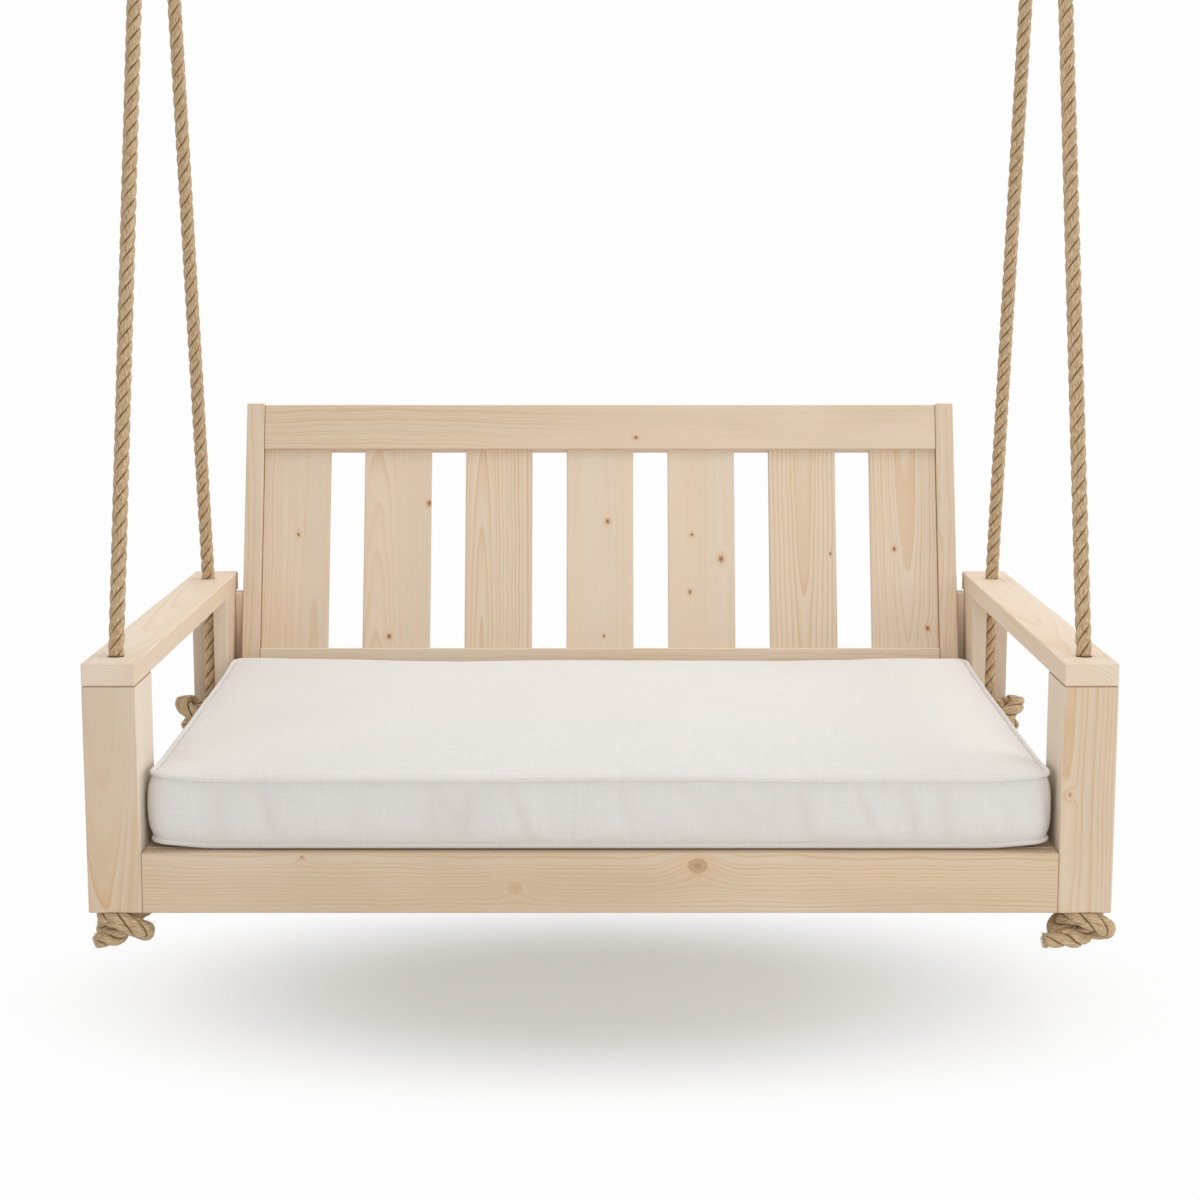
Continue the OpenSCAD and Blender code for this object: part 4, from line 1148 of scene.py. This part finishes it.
# %% Linen
linen, tree, shader = new_finish("linen", 0.9)
place = own_place(tree)
weave = put(tree, "ShaderNodeGroup", node_tree=weave_group, Vector=place).outputs
tone = blend(fade(Value(weave["Slub"]), 0.38, 0.62), (0.713, 0.684, 0.652), (0.747, 0.722, 0.695))
tone = blend(fade(noise(place, 5.0, 3.0, 0.5, 2.0), 0.35, 0.7, 0.0, 0.35), tone, (0.711, 0.678, 0.648))
# Painted shade: the border's folds are darkened in the colour
tone = blend(marked(tree, "fold") * 0.55, tone, (0.615, 0.570, 0.530))
feed(shader, Base_Color=tone, Sheen_Weight=0.15, Sheen_Roughness=0.6)
raised(shader, Value(weave["Height"]), 0.14, 0.0005)
wear(cover, linen)
print("yarns to a centimetre:", round(0.01 / yarn_width))

# %% The seams
def seam_line(name, z, wave, corner_lift, inset=0.0):
    """A closed line of points along a seam, as a mesh of edges only."""
    path = [bench(x, y, cushion_lift(y, z) + seam_wave(x, y, wave) + corner_lift * corner_share(x, y))
            for x, y in cushion_outline(inset, 12, 60, 36)]
    return new_mesh(name, path, [(k, (k + 1) % len(path)) for k in range(len(path))])


# For each seam: its height, how much it waves, its lift at the corners, and where its stitches run
stitches_off = 0.0070
seams = {"top": (seam_high, top_wave, high_lift, -stitches_off),
         "bottom": (seam_low, 0.0, low_lift, stitches_off)}
for which, (z, wave, corner_lift, beside) in seams.items():
    cord = shaped("cushion_piping_" + which, seam_line(which, z, wave, corner_lift), piping, "cushion",
                  "linen", Finish=linen, Radius=piping_r)
    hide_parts("cushion_piping")
    shaped("cushion_stitches_" + which, seam_line(which, z + beside, wave, corner_lift, -0.002),
           stitching, "cushion", "linen", Finish=linen, Cloth=cover)

# %% [markdown]
# ## Foam
# The cover is filled with a block of yellowish foam. Nobody sees it, but a maker who opens the cover
# finds it there. Its open cells are a fine noise, used for the colour and for the bumps.

# %% Foam
foam, tree, shader = new_finish("foam", 0.95)
cells = noise(own_place(tree), 700, 3.0, 0.6)
feed(shader, Base_Color=blend(cells, (0.80, 0.74, 0.55), (0.90, 0.85, 0.68)))
raised(shader, cells, 0.5, 0.001)
wear(nodes["cushion_foam"], foam)
print("foam on", nodes["cushion_foam"].name)

# %% [markdown]
# ## Floor and light
# The photograph has a white ground with one soft shadow under the bench. The floor only takes the
# shadow near the bench and turns into the plain white of the backdrop further out. The light is a
# large soft lamp overhead, a weaker one in front, and a pale sky.

# %% Floor and light
floor_z = -0.30
paper_white, backdrop_white = (0.90, 0.90, 0.90), (0.985, 0.985, 0.983)
ground_near, ground_far, least_plain = 0.30, 1.12, 0.36      # the plain share grows from near to far


def shown_to_camera(tree, real, plain, output, share=1.0):
    """The camera and mirrors see a share of the plain ground, and everything else the real one."""
    rays = put(tree, "ShaderNodeLightPath").outputs
    seen = worked("MAXIMUM", Value(rays["Is Camera Ray"]), rays["Is Glossy Ray"])
    mix = put(tree, "ShaderNodeMixShader", seen * share, real.outputs[0], plain.outputs[0])
    feed(output, Surface=mix.outputs[0])


corners = [bench(x, y, floor_z) for x, y in ((-14, -9), (14, -9), (14, 16), (-14, 16))]
floor = add_piece("floor", new_mesh("floor", corners, faces=[(0, 1, 2, 3)]))
floor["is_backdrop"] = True
ground, tree, shader = new_finish("white_ground")
tree.nodes.remove(shader)
from_middle = put(tree, "ShaderNodeVectorMath", own_place(tree), tuple(bench(0, 0.52, floor_z)),
                  operation="SUBTRACT")
oval = stretched(Value(from_middle.outputs[0]), 0.92, 1.60, 1.0)
away = Value(put(tree, "ShaderNodeVectorMath", oval, operation="LENGTH").outputs["Value"])
shown_to_camera(tree, put(tree, "ShaderNodeBsdfDiffuse", Color=paper_white),
                put(tree, "ShaderNodeEmission", Color=backdrop_white), tree.nodes["Material Output"],
                fade(away, ground_near, ground_far, least_plain, 1.0))
wear(floor, ground)

scene.world = bpy.data.worlds.new("sky")
scene.world.use_nodes = True
tree = scene.world.node_tree
sky = feed(tree.nodes["Background"], Color=(1.0, 0.99, 0.975), Strength=0.56)
shown_to_camera(tree, sky, put(tree, "ShaderNodeBackground", Color=(0.985, 0.985, 0.985)),
                tree.nodes["World Output"])


def soft_lamp(name, place, aim, size, power):
    data = bpy.data.lights.new(name, "AREA")
    data.shape = "RECTANGLE"
    data.size, data.size_y = size
    data.energy = power
    lamp = add_piece(name, data)
    lamp.location = place
    lamp.rotation_euler = (aim - place).to_track_quat("-Z", "Y").to_euler()


soft_lamp("overhead", bench(0.3, 1.1, 3.6), bench(0, 0.6, 0), (3.5, 2.4), 60)
soft_lamp("front", bench(0.8, -3.6, 1.3), bench(0, 0.5, 0.3), (2.2, 1.8), 43)
soft_lamp("right side", bench(4.2, 0.6, 1.4), bench(-0.8, 0.6, 0.3), (2.0, 2.0), 42)
soft_lamp("left side", bench(-4.2, 0.6, 1.6), bench(0.8, 0.6, 0.3), (2.0, 2.0), 16)

# %% [markdown]
# ## Size
# The box round the dressed bench is printed; it should lie inside the CAD model's box.

# %% Size
low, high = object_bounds()
print("visual box:", [round(v, 3) for v in low], [round(v, 3) for v in high])
